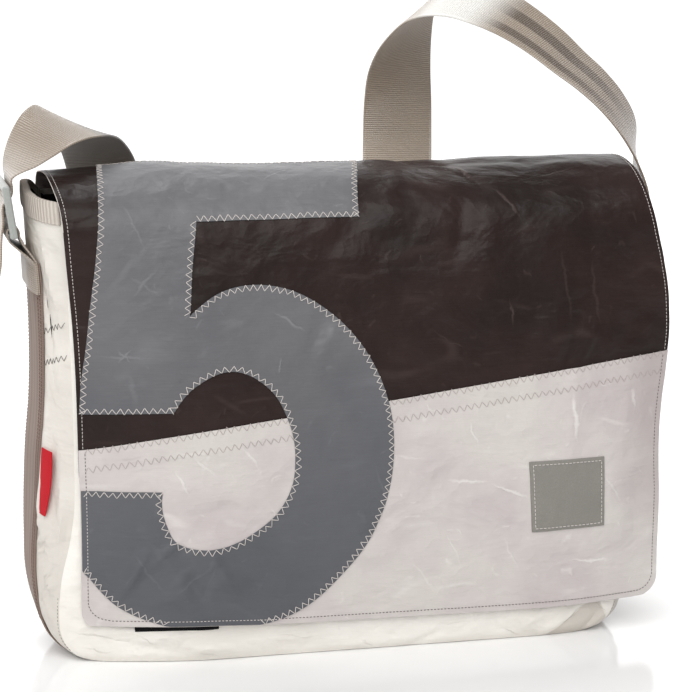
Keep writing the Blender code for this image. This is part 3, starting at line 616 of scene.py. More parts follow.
def webbing(name, light, dark, band=None, pitch=1.55, rough=0.42, spec=0.5, across=50.0, lanes=0.0, tones=(), yarns=0.5, soft=0.15):
    """ribbed webbing: ribs across its width, a smooth selvedge, optional darker lengthwise bands"""
    k = Look(name)
    sep = k.split(k.uv)
    wobble = k.math("MULTIPLY", k.noise(k.uv, 0.25, 2.0).outputs["Fac"], 0.5)
    rib = k.math("SINE", k.math("MULTIPLY", k.math("ADD", sep[1], wobble), 2 * math.pi / pitch))
    yarn = k.math("SINE", k.math("MULTIPLY", sep[0], 2 * math.pi / 1.1))
    rib01 = k.ramp(rib, -0.9, 0.6)
    drift = k.noise(k.uv, 0.02, 3.0).outputs["Fac"]
    colour = k.mix(k.ramp(drift, 0.3, 0.7), light, tuple(0.9 * c for c in light[:3]) + (1.0,))
    colour = k.mix(k.math("MULTIPLY", k.math("SUBTRACT", 1.0, rib01), 0.42), colour, dark)
    if band is not None:
        share = k.math("DIVIDE", sep[0], across)
        one = k.math("MULTIPLY", k.ramp(share, 0.09, 0.13), k.ramp(share, 0.25, 0.30, 1.0, 0.0))
        two = k.math("MULTIPLY", k.ramp(share, 0.47, 0.52), k.ramp(share, 0.70, 0.75, 1.0, 0.0))
        stripe = k.math("MAXIMUM", one, two)
        along = k.ramp(sep[1], band[0], band[1])
        along = k.math("MULTIPLY", along, k.ramp(sep[1], band[2], band[3], 1.0, 0.0))
        colour = k.mix(k.math("MULTIPLY", k.math("MULTIPLY", stripe, along), band[4]), colour, dark)
    if lanes:
        lane = k.math("COSINE", k.math("MULTIPLY", k.math("DIVIDE", sep[0], across), 2 * math.pi * 5.0))
        colour = k.mix(k.math("MULTIPLY", k.ramp(lane, 0.1, 0.9), lanes), colour, dark)
    # tones: colour bands along the length, which the strap uses for painted shade and a painted highlight
    for t0, t1, t2, t3, weight, tone in tones:
        here = k.math("MULTIPLY", k.ramp(sep[1], t0, t1), k.ramp(sep[1], t2, t3, 1.0, 0.0))
        colour = k.mix(k.math("MULTIPLY", here, weight), colour, tone)
    edge = k.math("ABSOLUTE", k.math("SUBTRACT", k.math("DIVIDE", sep[0], across), 0.5))
    rib = k.math("MULTIPLY", rib, k.ramp(edge, 0.455, 0.485, 1.0, 0.25))
    n = k.bump(rib, 0.00022, 0.8)
    n = k.bump(yarn, 0.00005, yarns, n)
    n = k.bump(drift, 0.0015, 0.3, n)
    return k.finish(colour, rough, n, spec, sheen=soft)


def plain(name, colour, tone, rough=0.6, grain=0.4, bump=0.0001, scale=1.0, spec=0.4, sheen=0.0, marks=0.0):
    """fine-grained surface for leather, plastic, thread and tape"""
    k = Look(name)
    obj = k.add("ShaderNodeTexCoord").outputs["Object"]
    mmco = k.vec("SCALE", obj, scale=1000.0)
    a = k.noise(mmco, scale, 5.0, 0.6).outputs["Fac"]
    b = k.noise(mmco, 0.06, 3.0).outputs["Fac"]
    c = k.mix(k.ramp(a, 0.3, 0.7), colour, tone)
    c = k.mix(k.math("MULTIPLY", k.ramp(b, 0.35, 0.7), grain), c, tuple(0.8 * v for v in colour[:3]) + (1.0,))
    n = k.bump(a, bump, 0.7)
    r = k.math("ADD", rough, k.math("MULTIPLY", k.math("SUBTRACT", b, 0.5), 0.15))
    return k.finish(c, r, n, spec, sheen)


BROWN_CREASES = Table("x0 l0 x1 l1 wide strength", [
    (76, 333, 92, 297, 1.6, 1.0), (100, 294, 116, 267, 1.4, 0.9), (105, 214, 108, 194, 1.0, 0.7), (48, 196, 77, 180, 0.8, 0.35),
    (142, 250, 150, 190, 1.2, 0.35), (164, 244, 171, 186, 1.2, 0.35), (30, 322, 66, 330, 0.8, 0.3), (128, 300, 170, 312, 0.9, 0.3),
    (-148, 190, -120, 168, 0.9, 0.3)])
WHITE_CREASES = Table("x0 l0 x1 l1 wide strength", [
    (149, 149, 154, 112, 1.5, 1.0), (195, 148, 197, 133, 1.3, 0.9), (59, 92, 91, 90, 1.1, 0.8), (91, 90, 119, 76, 1.1, 0.9),
    (76, 133, 83, 113, 1.0, 0.8), (147, 30, 183, 27, 1.2, 0.8), (36, 39, 57, 12, 1.0, 0.4), (170, 93, 190, 66, 1.0, 0.5),
    (-123, 110, -114, 91, 1.0, 0.7), (-112, 118, -96, 104, 0.9, 0.6), (-80, 125, -66, 107, 1.0, 0.6), (60, 60, 72, 30, 0.9, 0.4),
    (20, 112, 48, 108, 0.8, 0.4), (100, 52, 112, 26, 0.9, 0.4), (-60, 82, -52, 66, 0.9, 0.5)])
# pale crease marks on the numeral; the wide rows (half widths 2.2 to 3.4 mm) are painted highlights on its facets
GREY_CREASES = Table("x0 l0 x1 l1 wide strength", [
    (-158, 191, -149, 181, 0.8, 1.0), (-158, 181, -149, 191, 0.8, 0.9), (-57, 212, -33, 197, 1.0, 0.9), (-52, 181, -52, 171, 0.8, 0.9),
    (-154, 57, -127, 21, 0.9, 0.5), (-127, 21, -95, 48, 0.9, 0.5), (-95, 48, -108, 15, 0.9, 0.5), (-152, 290, -135, 249, 0.9, 0.4),
    (-120, 52, -96, 63, 3.0, 0.35), (-127, 30, -112, 45, 3.0, 0.4), (-104, 18, -98, 38, 3.4, 0.35), (-140, 60, -128, 44, 2.6, 0.3),
    (-178, 186, -120, 184, 1.0, 0.6), (-152, 178, -146, 150, 2.2, 0.35), (-166, 226, -132, 262, 2.4, 0.3), (-150, 222, -128, 246, 1.2, 0.5),
    (-60, 300, -30, 330, 0.8, 0.4), (-150, 240, -128, 222, 0.8, 0.4), (10, 110, 22, 70, 0.9, 0.4)])


def numeral_painted_shade(k, colour, sep):
    """the grey cloth painted darker towards its bottom: painted shade, as the light falls from above"""
    low = k.ramp(sep[1], 10.0, 290.0, 1.0, 0.0)
    return k.mix(k.math("MULTIPLY", low, 0.62), colour, GREY_PAINTED_SHADE)


def flap_edge(k, colour, sep):
    """off-white cloth painted a little darker down the flap's right edge, where it turns away from the light: painted
    shade
    """
    turned_away_shade = k.math("MULTIPLY", k.ramp(sep[0], 176.0, 212.0), k.ramp(sep[1], 20.0, 80.0))
    return k.mix(k.math("MULTIPLY", turned_away_shade, 0.55), colour, rgb(170, 160, 158))


def side_shade(k, colour, sep):
    """the side's cloth painted greyer along its second cloth coordinate from 120 to 290 mm, on the gusset towards the
    ground down its left side and beyond: painted shade
    """
    return k.mix(k.math("MULTIPLY", k.ramp(sep[1], 120.0, 290.0), 0.45), colour, rgb(190, 184, 176))


def corner_fold_painted_shade(k, colour, sep):
    """a shaded facet of a soft fold at the wall's lower right corner, painted as a darker beige tint: painted shade"""
    left = k.math("SUBTRACT", sep[0], k.math("MULTIPLY", sep[1], 1.15))
    right = k.math("ADD", sep[0], k.math("MULTIPLY", sep[1], 0.45))
    inside = k.math("MULTIPLY", k.ramp(left, 136.0, 138.5), k.ramp(right, 185.0, 187.0, 1.0, 0.0))
    inside = k.math("MULTIPLY", inside, k.ramp(sep[1], 33.0, 36.0, 1.0, 0.0))
    return k.mix(k.math("MULTIPLY", inside, 0.9), colour, rgb(204, 197, 188))


# darker lines along the gusset's folds: painted shade in the creases
GUSSET_CREASES = Table("x0 l0 x1 l1 wide strength", [
    (37, 250, 13, 226, 1.9, 1.0), (17, 272, 6, 246, 1.8, 0.9), (36, 22, 18, 66, 2.4, 0.6), (30, 205, 22, 180, 1.6, 0.6), (9, 284, 20, 262, 1.6, 0.7),
    (24, 120, 12, 140, 1.6, 0.5), (34, 268, 24, 284, 1.6, 0.6), (14, 196, 6, 222, 1.7, 0.6)])
# darker lines along the front wall's folds: painted shade in the creases
WALL_CREASES = Table("x0 l0 x1 l1 wide strength", [
    (-194, 24, -152, 17, 0.8, 1.0), (-186, 12, -160, 8, 0.8, 0.7), (-150, 22, -132, 12, 0.7, 0.6), (-108, 9, -92, 3, 1.0, 0.9), (4, 9, 14, 2, 1.0, 0.9),
    (142, 5, 168, 26, 0.9, 1.0), (104, 10, 118, 2, 1.0, 0.9), (168, 26, 184, 10, 0.8, 0.6), (-60, 18, -30, 14, 0.7, 0.4), (50, 16, 84, 18, 0.7, 0.4)])
# darker grey for the numeral's lower part: painted shade
GREY_PAINTED_SHADE = rgb(74, 77, 83)
BROWN = sailcloth("brown_sailcloth", rgb(46, 32, 29), rgb(32, 22, 20), rgb(104, 88, 82), 0.36, 0.40, 0.20, 0.9, 0.22, None, BROWN_CREASES, 0.35)
OFFWHITE = sailcloth("offwhite_sailcloth", rgb(207, 201, 196), rgb(193, 184, 183), rgb(238, 234, 229), 0.58, 0.40, 0.04, 1.0, 0.3, flap_edge, WHITE_CREASES, 0.45)
GREY = sailcloth("grey_sailcloth", rgb(114, 113, 115), rgb(105, 105, 108), rgb(164, 165, 168), 0.38, 0.40, 0.10, 0.9, 0.28, numeral_painted_shade, GREY_CREASES, 0.4)
# a darker copy of the front's white cloth for the gusset and back: painted shade; its darker mark colour draws painted
# shade in the creases as well as scuffs
WHITE = sailcloth("white_sailcloth", rgb(230, 225, 217), rgb(217, 211, 203), rgb(176, 168, 158), 0.24, 0.48, 0.03, 1.4, 0.25, side_shade, GUSSET_CREASES, 0.3)
# the front wall's copy of the white cloth, lighter than the gusset's; its darker mark colour draws painted shade in the
# creases as well as scuffs, and its corner fold is painted shade
WHITE_FRONT = sailcloth("white_front_sailcloth", rgb(244, 240, 233), rgb(234, 229, 221), rgb(186, 178, 168), 0.26, 0.48, 0.03, 1.4, 0.25, corner_fold_painted_shade, WALL_CREASES, 0.3)
# pale colour for the brown flap's rim at its top left: a painted highlight
RIM_HIGHLIGHT_PAINT = plain("rim_painted_highlight", rgb(222, 214, 206), rgb(206, 198, 190), 0.7)
BLACK = plain("black_lining", rgb(22, 20, 20), rgb(14, 13, 13), 0.75, 0.3, 0.0001, 1.6)
WEB = webbing("side_webbing", rgb(148, 130, 119), rgb(94, 78, 69), None, 1.5, 0.6, 0.2, lanes=0.35, soft=0.0)
# strap tones along its length: painted shade on the arch's inner face (962 to 1066 mm), painted shade on its lower part
# rising from the right gusset, and a painted highlight at the top of the arch
STRAP = webbing("strap_webbing", rgb(170, 155, 139), rgb(88, 75, 64), (75.0, 125.0, 205.0, 232.0, 0.85), 1.55, 0.32, 0.9, yarns=0.12, soft=0.0,
                tones=((962.0, 990.0, 1046.0, 1066.0, 0.85, rgb(46, 37, 29)), (-20.0, 0.0, 80.0, 165.0, 0.75, rgb(122, 105, 91)),
                       (205.0, 238.0, 262.0, 290.0, 0.85, rgb(240, 239, 234))))
LOOPWEB = webbing("loop_webbing", rgb(176, 163, 150), rgb(98, 84, 74), None, 1.5)
BINDING = webbing("grosgrain_binding", rgb(212, 203, 193), rgb(140, 128, 116), None, 1.9, 0.85, 0.15)
PATCH = plain("patch_leather", rgb(140, 137, 131), rgb(128, 125, 119), 0.62, 0.35, 0.00012, 1.4, 0.3)
RED = plain("red_tape", rgb(196, 26, 38), rgb(172, 20, 32), 0.8, 0.3, 0.0001, 2.2, 0.2)
HOOK = plain("hook_tape", rgb(24, 23, 24), rgb(12, 12, 13), 0.9, 0.3, 0.0004, 1.5, 0.2)
PLASTIC = plain("grey_plastic", rgb(168, 171, 166), rgb(158, 161, 157), 0.38, 0.2, 0.00002, 0.8, 0.5)
THREAD = plain("pale_thread", rgb(226, 219, 214), rgb(200, 192, 187), 0.7, 0.2, 0.00005, 3.0, 0.3)
THREAD_SOFT = plain("soft_thread", rgb(186, 176, 172), rgb(164, 155, 151), 0.75, 0.2, 0.00005, 3.0, 0.2)
THREAD_HEM = plain("hem_thread", rgb(96, 88, 84), rgb(80, 73, 70), 0.75, 0.2, 0.00005, 3.0, 0.2)
THREAD_DARK = plain("dark_thread", rgb(84, 74, 68), rgb(60, 52, 48), 0.75, 0.2, 0.00005, 3.0, 0.3)
THREAD_WEB = plain("webbing_thread", rgb(120, 92, 82), rgb(94, 72, 64), 0.7, 0.2, 0.00005, 3.0, 0.3)


# ------------------------------------------------------------------ flap
def count(length, pitch):
    return max(int(length / (pitch * MM) * DETAIL), 4) + 1


UF = np.linspace(0, 1, count(0.405, 2.4))
edge_share = np.unique(np.concatenate([UF, 0.5 - 0.5 * np.cos(np.pi * np.array((0.0, 0.02, 0.04, 0.06, 0.94, 0.96, 0.98, 1.0)))]))
UF = edge_share


def flap_lower_grid():
    vs = np.unique(np.concatenate([np.linspace(0, 1, count(0.150, 2.4)), (0.004, 0.012, 0.024, 0.04)]))
    u, v = np.meshgrid(UF, vs)
    length = v * 0.145
    for _ in range(8):
        left, right = flap_edges(length)
        x = left + u * (right - left)
        hem = hem_length(x)
        length = hem + v * (seam_length(x) - hem)
    hemmed = smooth((length + 0.001) / 0.004)
    return flap(x, length, FLAP_LAYER - 0.0002 * (1 - hemmed)), np.stack([x, length], -1)


def flap_upper_grid():
    lap = 0.018
    vs = np.linspace(0, 1, count(0.12, 2.4))
    u, v = np.meshgrid(UF, vs)
    length = np.full(u.shape, 0.190)
    for _ in range(8):
        left, right = flap_edges(length)
        x = left + u * (right - left)
        low = seam_length(x) - lap
        length = low + v * (0.250 - low)
    up = np.linspace(0.250, FLAP_END - 0.0003, count(FLAP_END - 0.250, 2.2))[1:]
    u2, l2 = np.meshgrid(UF, up)
    left, right = flap_edges(l2)
    x2 = left + u2 * (right - left)
    x, length = np.concatenate([x, x2]), np.concatenate([length, l2])
    return flap(x, length), np.stack([x, length], -1)


# where the brown flap's rim gets the pale painted highlight: its top left edge
def painted_highlight_rim(points, cloth):
    return ((cloth[:, 0] < -0.15) & (cloth[:, 1] > 0.270) & (cloth[:, 1] < 0.40)).astype(int)


flap_lower = cloth_piece("flap_lower_cloth", [flap_lower_grid()], 0.75 * MM, [OFFWHITE])
flap_upper = cloth_piece("flap_upper_cloth", [flap_upper_grid()], 0.9 * MM, [BROWN, RIM_HIGHLIGHT_PAINT], rim_mat=painted_highlight_rim)

# numeral
NUMERAL_OUT = FLAP_LAYER + 0.75 * MM


def numeral_out(x, length):
    """height of the numeral's middle over the flap: it steps down above the diagonal seam"""
    over = length - seam_length(x)
    return (NUMERAL_OUT - 1.05 * MM * smooth((over + 0.0005) / 0.0045)
            + 0.22 * MM * (np.exp(-((over + 0.0025) / 0.0016) ** 2) + np.exp(-((over + 0.0135) / 0.0018) ** 2)))


BAR_TOP, BAR_FOOT, STEM_FOOT, BOWL_TOP = 0.348, 0.2725, 0.1475, 0.2110
STEM = Table("length left right", [(147.5, -183.0, -123.2), (170, -181.1, -117.8), (191, -177.6, -114.0), (211, -175.0, -111.0),
                                   (241, -170.8, -108.4), (272.5, -167.5, -104.0), (296, -165.6, -101.5), (350, -160.0, -96.0)])
BOWL_AT = (-0.085, 0.114)
BOWL = Table("step outer_angle outer inner_angle inner", [
    (0, 105, 100.4, 139.2, 50.4), (1, 90, 113.5, 112, 56.3), (2, 72, 118.6, 88, 59.7), (3, 50, 116.3, 62, 53.6),
    (4, 25, 112.2, 33, 45.3), (5, 0, 109.0, 0, 42.1), (6, -25, 108.5, -28, 44.2), (7, -48, 110.0, -52, 47.4),
    (8, -68, 114.8, -74, 51.2), (9, -90, 115.6, -96, 58.4), (10, -112, 120.4, -114, 64.0), (11, -127, 124.2, -126, 65.4),
    (12, -139, 122.8, -137, 60.6), (13, -146.5, 121.0, -148, 55.4), (14, -169.6, 101.0, -157.5, 50.2)])


def bowl_line(which, step):
    """outer or inner outline of the bowl in cloth coordinates"""
    a = np.radians(BOWL.read(which + "_angle", step))
    r = BOWL.read(which, step) * MM
    p = np.stack([BOWL_AT[0] + r * np.cos(a), BOWL_AT[1] + r * np.sin(a)], -1)
    return p


def keep_on_flap(p, margin=0.0005):
    """slide points towards the bowl's middle until they lie on the flap"""
    middle = np.array(BOWL_AT)
    lo, hi = np.zeros(len(p)), np.ones(len(p))

    def inside(q):
        left, _ = flap_edges(q[:, 1])
        return (q[:, 0] >= left + margin) & (q[:, 1] >= hem_length(q[:, 0]) + margin)

    fine = inside(p)
    for _ in range(24):
        m = (lo + hi) / 2
        ok = inside(middle + (p - middle) * m[:, None])
        lo, hi = np.where(ok, m, lo), np.where(ok, hi, m)
    return np.where(fine[:, None], p, middle + (p - middle) * lo[:, None])


n_ring = count(0.062, 2.6)
ring = np.linspace(0, 1, n_ring)
low_rows = np.linspace(STEM_FOOT, BOWL_TOP, n_ring)
mid_rows = np.linspace(BOWL_TOP, BAR_FOOT, count(0.062, 2.6))[1:]
top_rows = np.linspace(BAR_FOOT, BAR_TOP, count(0.076, 2.6))[1:]
stem_rows = np.concatenate([low_rows, mid_rows, top_rows])
us = np.linspace(0, 1, count(0.062, 2.6))
left, right = (STEM.read(k, stem_rows / MM)[:, None] * MM for k in ("left", "right"))
stem_x = left + us[None] * (right - left)
stem_l = np.repeat(stem_rows[:, None], len(us), 1)
bar_l = np.concatenate([[BAR_FOOT], top_rows])
bar_end = 0.0048 + 0.0130 * smooth((bar_l - BAR_FOOT) / 0.085)
bar_start = STEM.read("right", bar_l / MM) * MM
ub = np.linspace(0, 1, count(0.110, 2.6))
bar_x = bar_start[:, None] + ub[None] * (bar_end - bar_start)[:, None]
bar_l = np.repeat(bar_l[:, None], len(ub), 1)
steps = np.linspace(0, 14, count(0.42, 2.6))
outer = keep_on_flap(bowl_line("outer", steps))
inner = bowl_line("inner", steps)
bowl = outer[:, None] + ring[None, :, None] * (inner - outer)[:, None]
bowl[0, :, 0] = STEM.read("right", low_rows[::-1] / MM) * MM
bowl[0, :, 1] = low_rows[::-1]


def numeral_grid(x, l):
    return flap(x, l, numeral_out(x, l)), np.stack([x, l], -1)


numeral = cloth_piece("numeral_cloth", [numeral_grid(stem_x, stem_l), numeral_grid(bar_x, bar_l), numeral_grid(bowl[..., 0], bowl[..., 1])], 0.6 * MM, [GREY])

# outline of the numeral, run so that its inside is on the left
fine_steps = np.linspace(0, 14, 400)
outline = [
    np.array([(STEM.read("left", BAR_TOP / MM) * MM, BAR_TOP), (0.0048 + 0.0130 * float(smooth((BAR_TOP - BAR_FOOT) / 0.085)), BAR_TOP)]),
    np.stack([0.0048 + 0.0130 * smooth((np.linspace(BAR_TOP, BAR_FOOT, 30) - BAR_FOOT) / 0.085), np.linspace(BAR_TOP, BAR_FOOT, 30)], 1),
    np.array([(0.0048, BAR_FOOT), (STEM.read("right", BAR_FOOT / MM) * MM, BAR_FOOT)]),
    np.stack([STEM.read("right", np.linspace(BAR_FOOT, BOWL_TOP, 20) / MM) * MM, np.linspace(BAR_FOOT, BOWL_TOP, 20)], 1),
    bowl_line("outer", fine_steps),
    np.array([(-0.1844, 0.0957), (-0.1314, 0.0948)]),
    bowl_line("inner", fine_steps)[::-1],
    np.array([(-0.1232, STEM_FOOT), (-0.1830, STEM_FOOT)]),
    np.stack([STEM.read("left", np.linspace(STEM_FOOT, BAR_TOP, 60) / MM) * MM, np.linspace(STEM_FOOT, BAR_TOP, 60)], 1)]


def zigzag(line, pitch, wide, out, inside=1.0, shift=0.0, seed=1):
    """stitch ends on the surface for a zigzag that runs along a line of cloth coordinates"""
    rng = np.random.default_rng(seed)
    p = resample(line, pitch / 2)
    if len(p) < 3:
        return np.zeros((0, 3)), np.zeros((0, 3)), np.zeros((0, 3))
    tangent = unit(np.gradient(p, axis=0))
    side = np.stack([tangent[:, 1], -tangent[:, 0]], 1) * inside
    reach = np.where(np.arange(len(p)) % 2 == 0, shift, wide + shift)
    q = p + side * (reach + rng.normal(0, 0.00022, len(p)))[:, None] + tangent * rng.normal(0, 0.00018, len(p))[:, None]
    left, right = flap_edges(q[:, 1])
    ok = (q[:, 0] > left + 0.0006) & (q[:, 0] < right - 0.0006) & (q[:, 1] > hem_length(q[:, 0]) + 0.0006)
    high = out if np.isscalar(out) else out(q[:, 0], q[:, 1])
    s = flap(q[:, 0], q[:, 1], high)
    du = flap(q[:, 0] + 0.0005, q[:, 1], high) - s
    dv = flap(q[:, 0], q[:, 1] + 0.0005, high) - s
    n = unit(np.cross(du, dv))
    both = ok[:-1] & ok[1:]
    return s[:-1][both], s[1:][both], n[:-1][both]


top_face = NUMERAL_OUT + 0.30 * MM


def thread_out(x, length):
    return numeral_out(x, length) + 0.40 * MM


found = [zigzag(l, 5.3 * MM, 3.9 * MM, thread_out, 1.0, -0.2 * MM, 20 + i) for i, l in enumerate(outline)]
numeral_zigzag = threads("numeral_zigzag", *(np.concatenate([f[k] for f in found]) for k in range(3)), 0.24 * MM, THREAD)

# two rows of zigzag along the diagonal seam, skipping what the numeral covers
xs = np.linspace(-0.1835, 0.2225, 400)


def covered(x, l):
    """true where the numeral lies over the flap"""
    r, a = np.hypot(x - BOWL_AT[0], l - BOWL_AT[1]), np.degrees(np.arctan2(l - BOWL_AT[1], x - BOWL_AT[0]))
    order = np.argsort(BOWL.rows[:, 1])
    far = np.interp(a, BOWL.rows[order, 1], BOWL.rows[order, 2]) * MM
    order = np.argsort(BOWL.rows[:, 3])
    near = np.interp(a, BOWL.rows[order, 3], BOWL.rows[order, 4]) * MM
    on_bowl = (r < far) & (r > near) & (a < 125) & ~((x < -0.128) & (l > 0.0955))
    on_stem = (l > STEM_FOOT) & (l < BAR_TOP) & (x > STEM.read("left", l / MM) * MM) & (x < STEM.read("right", l / MM) * MM)
    return on_bowl | on_stem


starts, ends, norms = [], [], []
for drop, seed in ((0.0002, 3), (0.0122, 4)):
    line = np.stack([xs, seam_length(xs) - drop], 1)
    s, e, n = zigzag(line, 5.3 * MM, 4.4 * MM, FLAP_LAYER + 0.42 * MM, 1.0, -1.0 * MM, seed)
    starts.append(s); ends.append(e); norms.append(n)
s, e, n = (np.concatenate(a) for a in (starts, ends, norms))


def cloth_at(p):
    """approximate cloth coordinates of points on the flap's front"""
    grid = np.linspace(0.0, 0.30, 600)
    z = flap(np.zeros_like(grid), grid, FLAP_LAYER)[:, 2]
    return p[:, 0], np.interp(p[:, 2], z, grid)


hide = covered(*cloth_at((s + e) / 2))
seam_zigzag = threads("seam_zigzag", s[~hide], e[~hide], n[~hide], 0.20 * MM, THREAD_SOFT)


def topstitch(line, pitch, out, gap=0.28):
    """straight stitches along a line of cloth coordinates"""
    p = resample(line, pitch)
    a, b = p[:-1], p[:-1] + (p[1:] - p[:-1]) * (1 - gap)
    s, e = flap(a[:, 0], a[:, 1], out), flap(b[:, 0], b[:, 1], out)
    du = flap(a[:, 0] + 0.0005, a[:, 1], out) - s
    dv = flap(a[:, 0], a[:, 1] + 0.0005, out) - s
    return s, e, unit(np.cross(du, dv))


def edge_line(side, l0, l1, inset, n=200):
    l = np.linspace(l0, l1, n)
    x = flap_edges(l)[0 if side == "left" else 1]
    return np.stack([x + (inset if side == "left" else -inset), l], 1)


SEAM_L, SEAM_R = float(seam_length(-0.184)), float(seam_length(0.2225))
pale = [topstitch(edge_line("left", SEAM_L + 0.001, 0.352, 2.8 * MM), 2.5 * MM, 0.50 * MM),
        topstitch(edge_line("right", SEAM_R + 0.001, 0.352, 2.4 * MM), 2.5 * MM, 0.50 * MM)]
flap_topstitch = threads("flap_topstitch", *(np.concatenate([f[k] for f in pale]) for k in range(3)), 0.22 * MM, THREAD)


def hem_path(inset):
    """along the left edge, round the lower corners, along the hem and up the right edge"""
    r = 0.016
    l = np.linspace(SEAM_L - 0.002, r + 0.002, 80)
    a = np.stack([flap_edges(l)[0] + inset, l], 1)
    t = np.linspace(0, np.pi / 2, 24)
    left = -0.184 + inset
    b = np.stack([left + (r - inset) * (1 - np.cos(t)), 0.0022 + inset + (r - inset) * (1 - np.sin(t))], 1)
    x = np.linspace(b[-1, 0], 0.2178 - r, 200)
    c = np.stack([x, hem_length(x) + inset], 1)
    rx = 0.2178 - r
    d = np.stack([rx + (r - inset) * np.sin(t), -0.0023 + inset + (r - inset) * (1 - np.cos(t))], 1)
    l = np.linspace(d[-1, 1], SEAM_R - 0.002, 80)
    e = np.stack([flap_edges(l)[1] - inset, l], 1)
    return np.concatenate([a, b[1:], c[1:], d[1:], e[1:]])


path = hem_path(3.9 * MM)
p = resample(path, 2.4 * MM)
over = covered(p[:, 0], p[:, 1])
a, b = p[:-1], p[:-1] + (p[1:] - p[:-1]) * 0.62
for flag, name, mat in ((False, "hem_stitches", THREAD_HEM), (True, "hem_stitches_on_numeral", THREAD)):
    pick = over[:-1] == flag
    out = top_face + 0.10 * MM if flag else FLAP_LAYER + 0.42 * MM
    s, e = flap(a[pick, 0], a[pick, 1], out), flap(b[pick, 0], b[pick, 1], out)
    du = flap(a[pick, 0] + 0.0005, a[pick, 1], out) - s
    dv = flap(a[pick, 0], a[pick, 1] + 0.0005, out) - s
    threads(name, s, e, unit(np.cross(du, dv)), 0.25 * MM, mat)

# patch with a stitched border
u, v = np.meshgrid(np.linspace(0, 1, 28), np.linspace(0, 1, 26))
patch_l = 0.0535 + v * 0.0485
patch_left, patch_right = 0.1210 - 0.0024 * v, 0.1740 - 0.0012 * v
patch_x = patch_left + u * (patch_right - patch_left)
edge_low = np.minimum(np.minimum(u, 1 - u), np.minimum(v, 1 - v))
patch_out = NUMERAL_OUT + 0.25 * MM - 0.25 * MM * (1 - smooth(edge_low / 0.04))
patch = cloth_piece("patch_leather", [(flap(patch_x, patch_l, patch_out), np.stack([patch_x, patch_l], -1))], 1.0 * MM, [PATCH])
corners = np.array([(0.042, 0.045), (0.958, 0.045), (0.958, 0.955), (0.042, 0.955), (0.042, 0.045)])
runs = []
for c0, c1 in zip(corners, corners[1:]):
    t = np.linspace(0, 1, 20)[:, None]
    q = c0 + t * (c1 - c0)
    l = 0.0535 + q[:, 1] * 0.0485
    x = (0.1210 - 0.0024 * q[:, 1]) + q[:, 0] * (0.0530 + 0.0012 * q[:, 1])
    runs.append(topstitch(np.stack([x, l], 1), 2.8 * MM, NUMERAL_OUT + 0.92 * MM, 0.3))
patch_stitches = threads("patch_stitches", *(np.concatenate([f[k] for f in runs]) for k in range(3)), 0.27 * MM, THREAD)


# ------------------------------------------------------------------ body
WALL_FOLDS = Table("x z turn long wide high", [
    (-165, 25, -5, 34, 2.6, 2.2), (-150, 15, -12, 30, 2.6, -2.0), (-181, 34, 66, 16, 2.6, 1.8), (-128, 19, 12, 26, 2.6, 1.6), (-100, 10, -8, 30, 3.0, 1.2),
    (-60, 14, 5, 40, 3.0, 1.1), (10, 13, -5, 44, 3.0, -1.1), (52, 7, 24, 13, 3.2, -2.6), (84, 14, 4, 40, 3.0, 1.1), (128, 16, 30, 16, 2.6, 1.8),
    (150, 15, 38, 22, 2.6, 2.4), (172, 12, 50, 18, 2.4, -1.8), (112, 8, -16, 16, 2.6, -1.2)])


def wall_relief(x, z):
    soft = 1.0 * noise(x / 0.060, z / 0.050, 5) + 0.5 * noise(x / 0.024, z / 0.020, 6) + 1.7 * facets(x, 1.4 * z, 0.024, 6)
    return soft * MM * smooth(z / 0.012 + 0.25) + folds(WALL_FOLDS, x, z)


def wall_grid(which):
    z = np.concatenate([BODY_CORNER * (1 - np.cos(np.linspace(0, math.pi / 2, 14))), np.linspace(BODY_CORNER, WALL_TOP, count(0.285, 3.2))[1:]])
    u = np.unique(np.concatenate([np.linspace(0, 1, count(0.39, 3.0)), (0.004, 0.01, 0.018, 0.982, 0.99, 0.996)]))
    zz = np.repeat(z[:, None], len(u), 1)
    left, right = outline_x("left", which, zz), outline_x("right", which, zz)
    x = left + u[None] * (right - left)
    y = front_y(x, zz) if which == "front" else back_y(x, zz)
    side = np.minimum(x - left, right - x)
    roll = 0.0016 * (1 - smooth(side / 0.005)) + 0.0016 * (1 - smooth(zz / 0.006))
    near = smooth(side / 0.010)
    lift = 0.0006 * (1 - smooth(zz / 0.010))
    if which == "front":
        y = y + roll - wall_relief(x, zz) * near
    else:
        y = y - roll + 0.8 * wall_relief(-x, zz) * near
    return np.stack([x, y, zz + lift], -1), np.stack([x, zz], -1)


front_panel = cloth_piece("front_wall_cloth", [wall_grid("front")], PANEL_CLOTH, [WHITE_FRONT])
back_panel = cloth_piece("back_wall_cloth", [wall_grid("back")], PANEL_CLOTH, [WHITE], flip=True)

GUSSET_FOLDS = Table("t z turn long wide high", [
    (9, 250, 76, 40, 4.0, 3.2), (20, 232, 80, 36, 4.0, -2.6), (12, 58, 58, 26, 3.0, 4.2), (22, 76, 62, 26, 3.0, -3.4), (6, 98, 84, 40, 3.0, 2.6), (28, 100, 80, 26, 3.0, 2.4),
    (10, 34, 50, 18, 3.6, 2.0), (24, 110, 78, 30, 4.0, 1.6), (16, 150, 86, 40, 5.0, -1.2), (8, 190, 74, 24, 4.0, 1.2), (100, 90, 80, 50, 7.0, 0.8),
    (104, 200, 84, 50, 8.0, -0.8)])


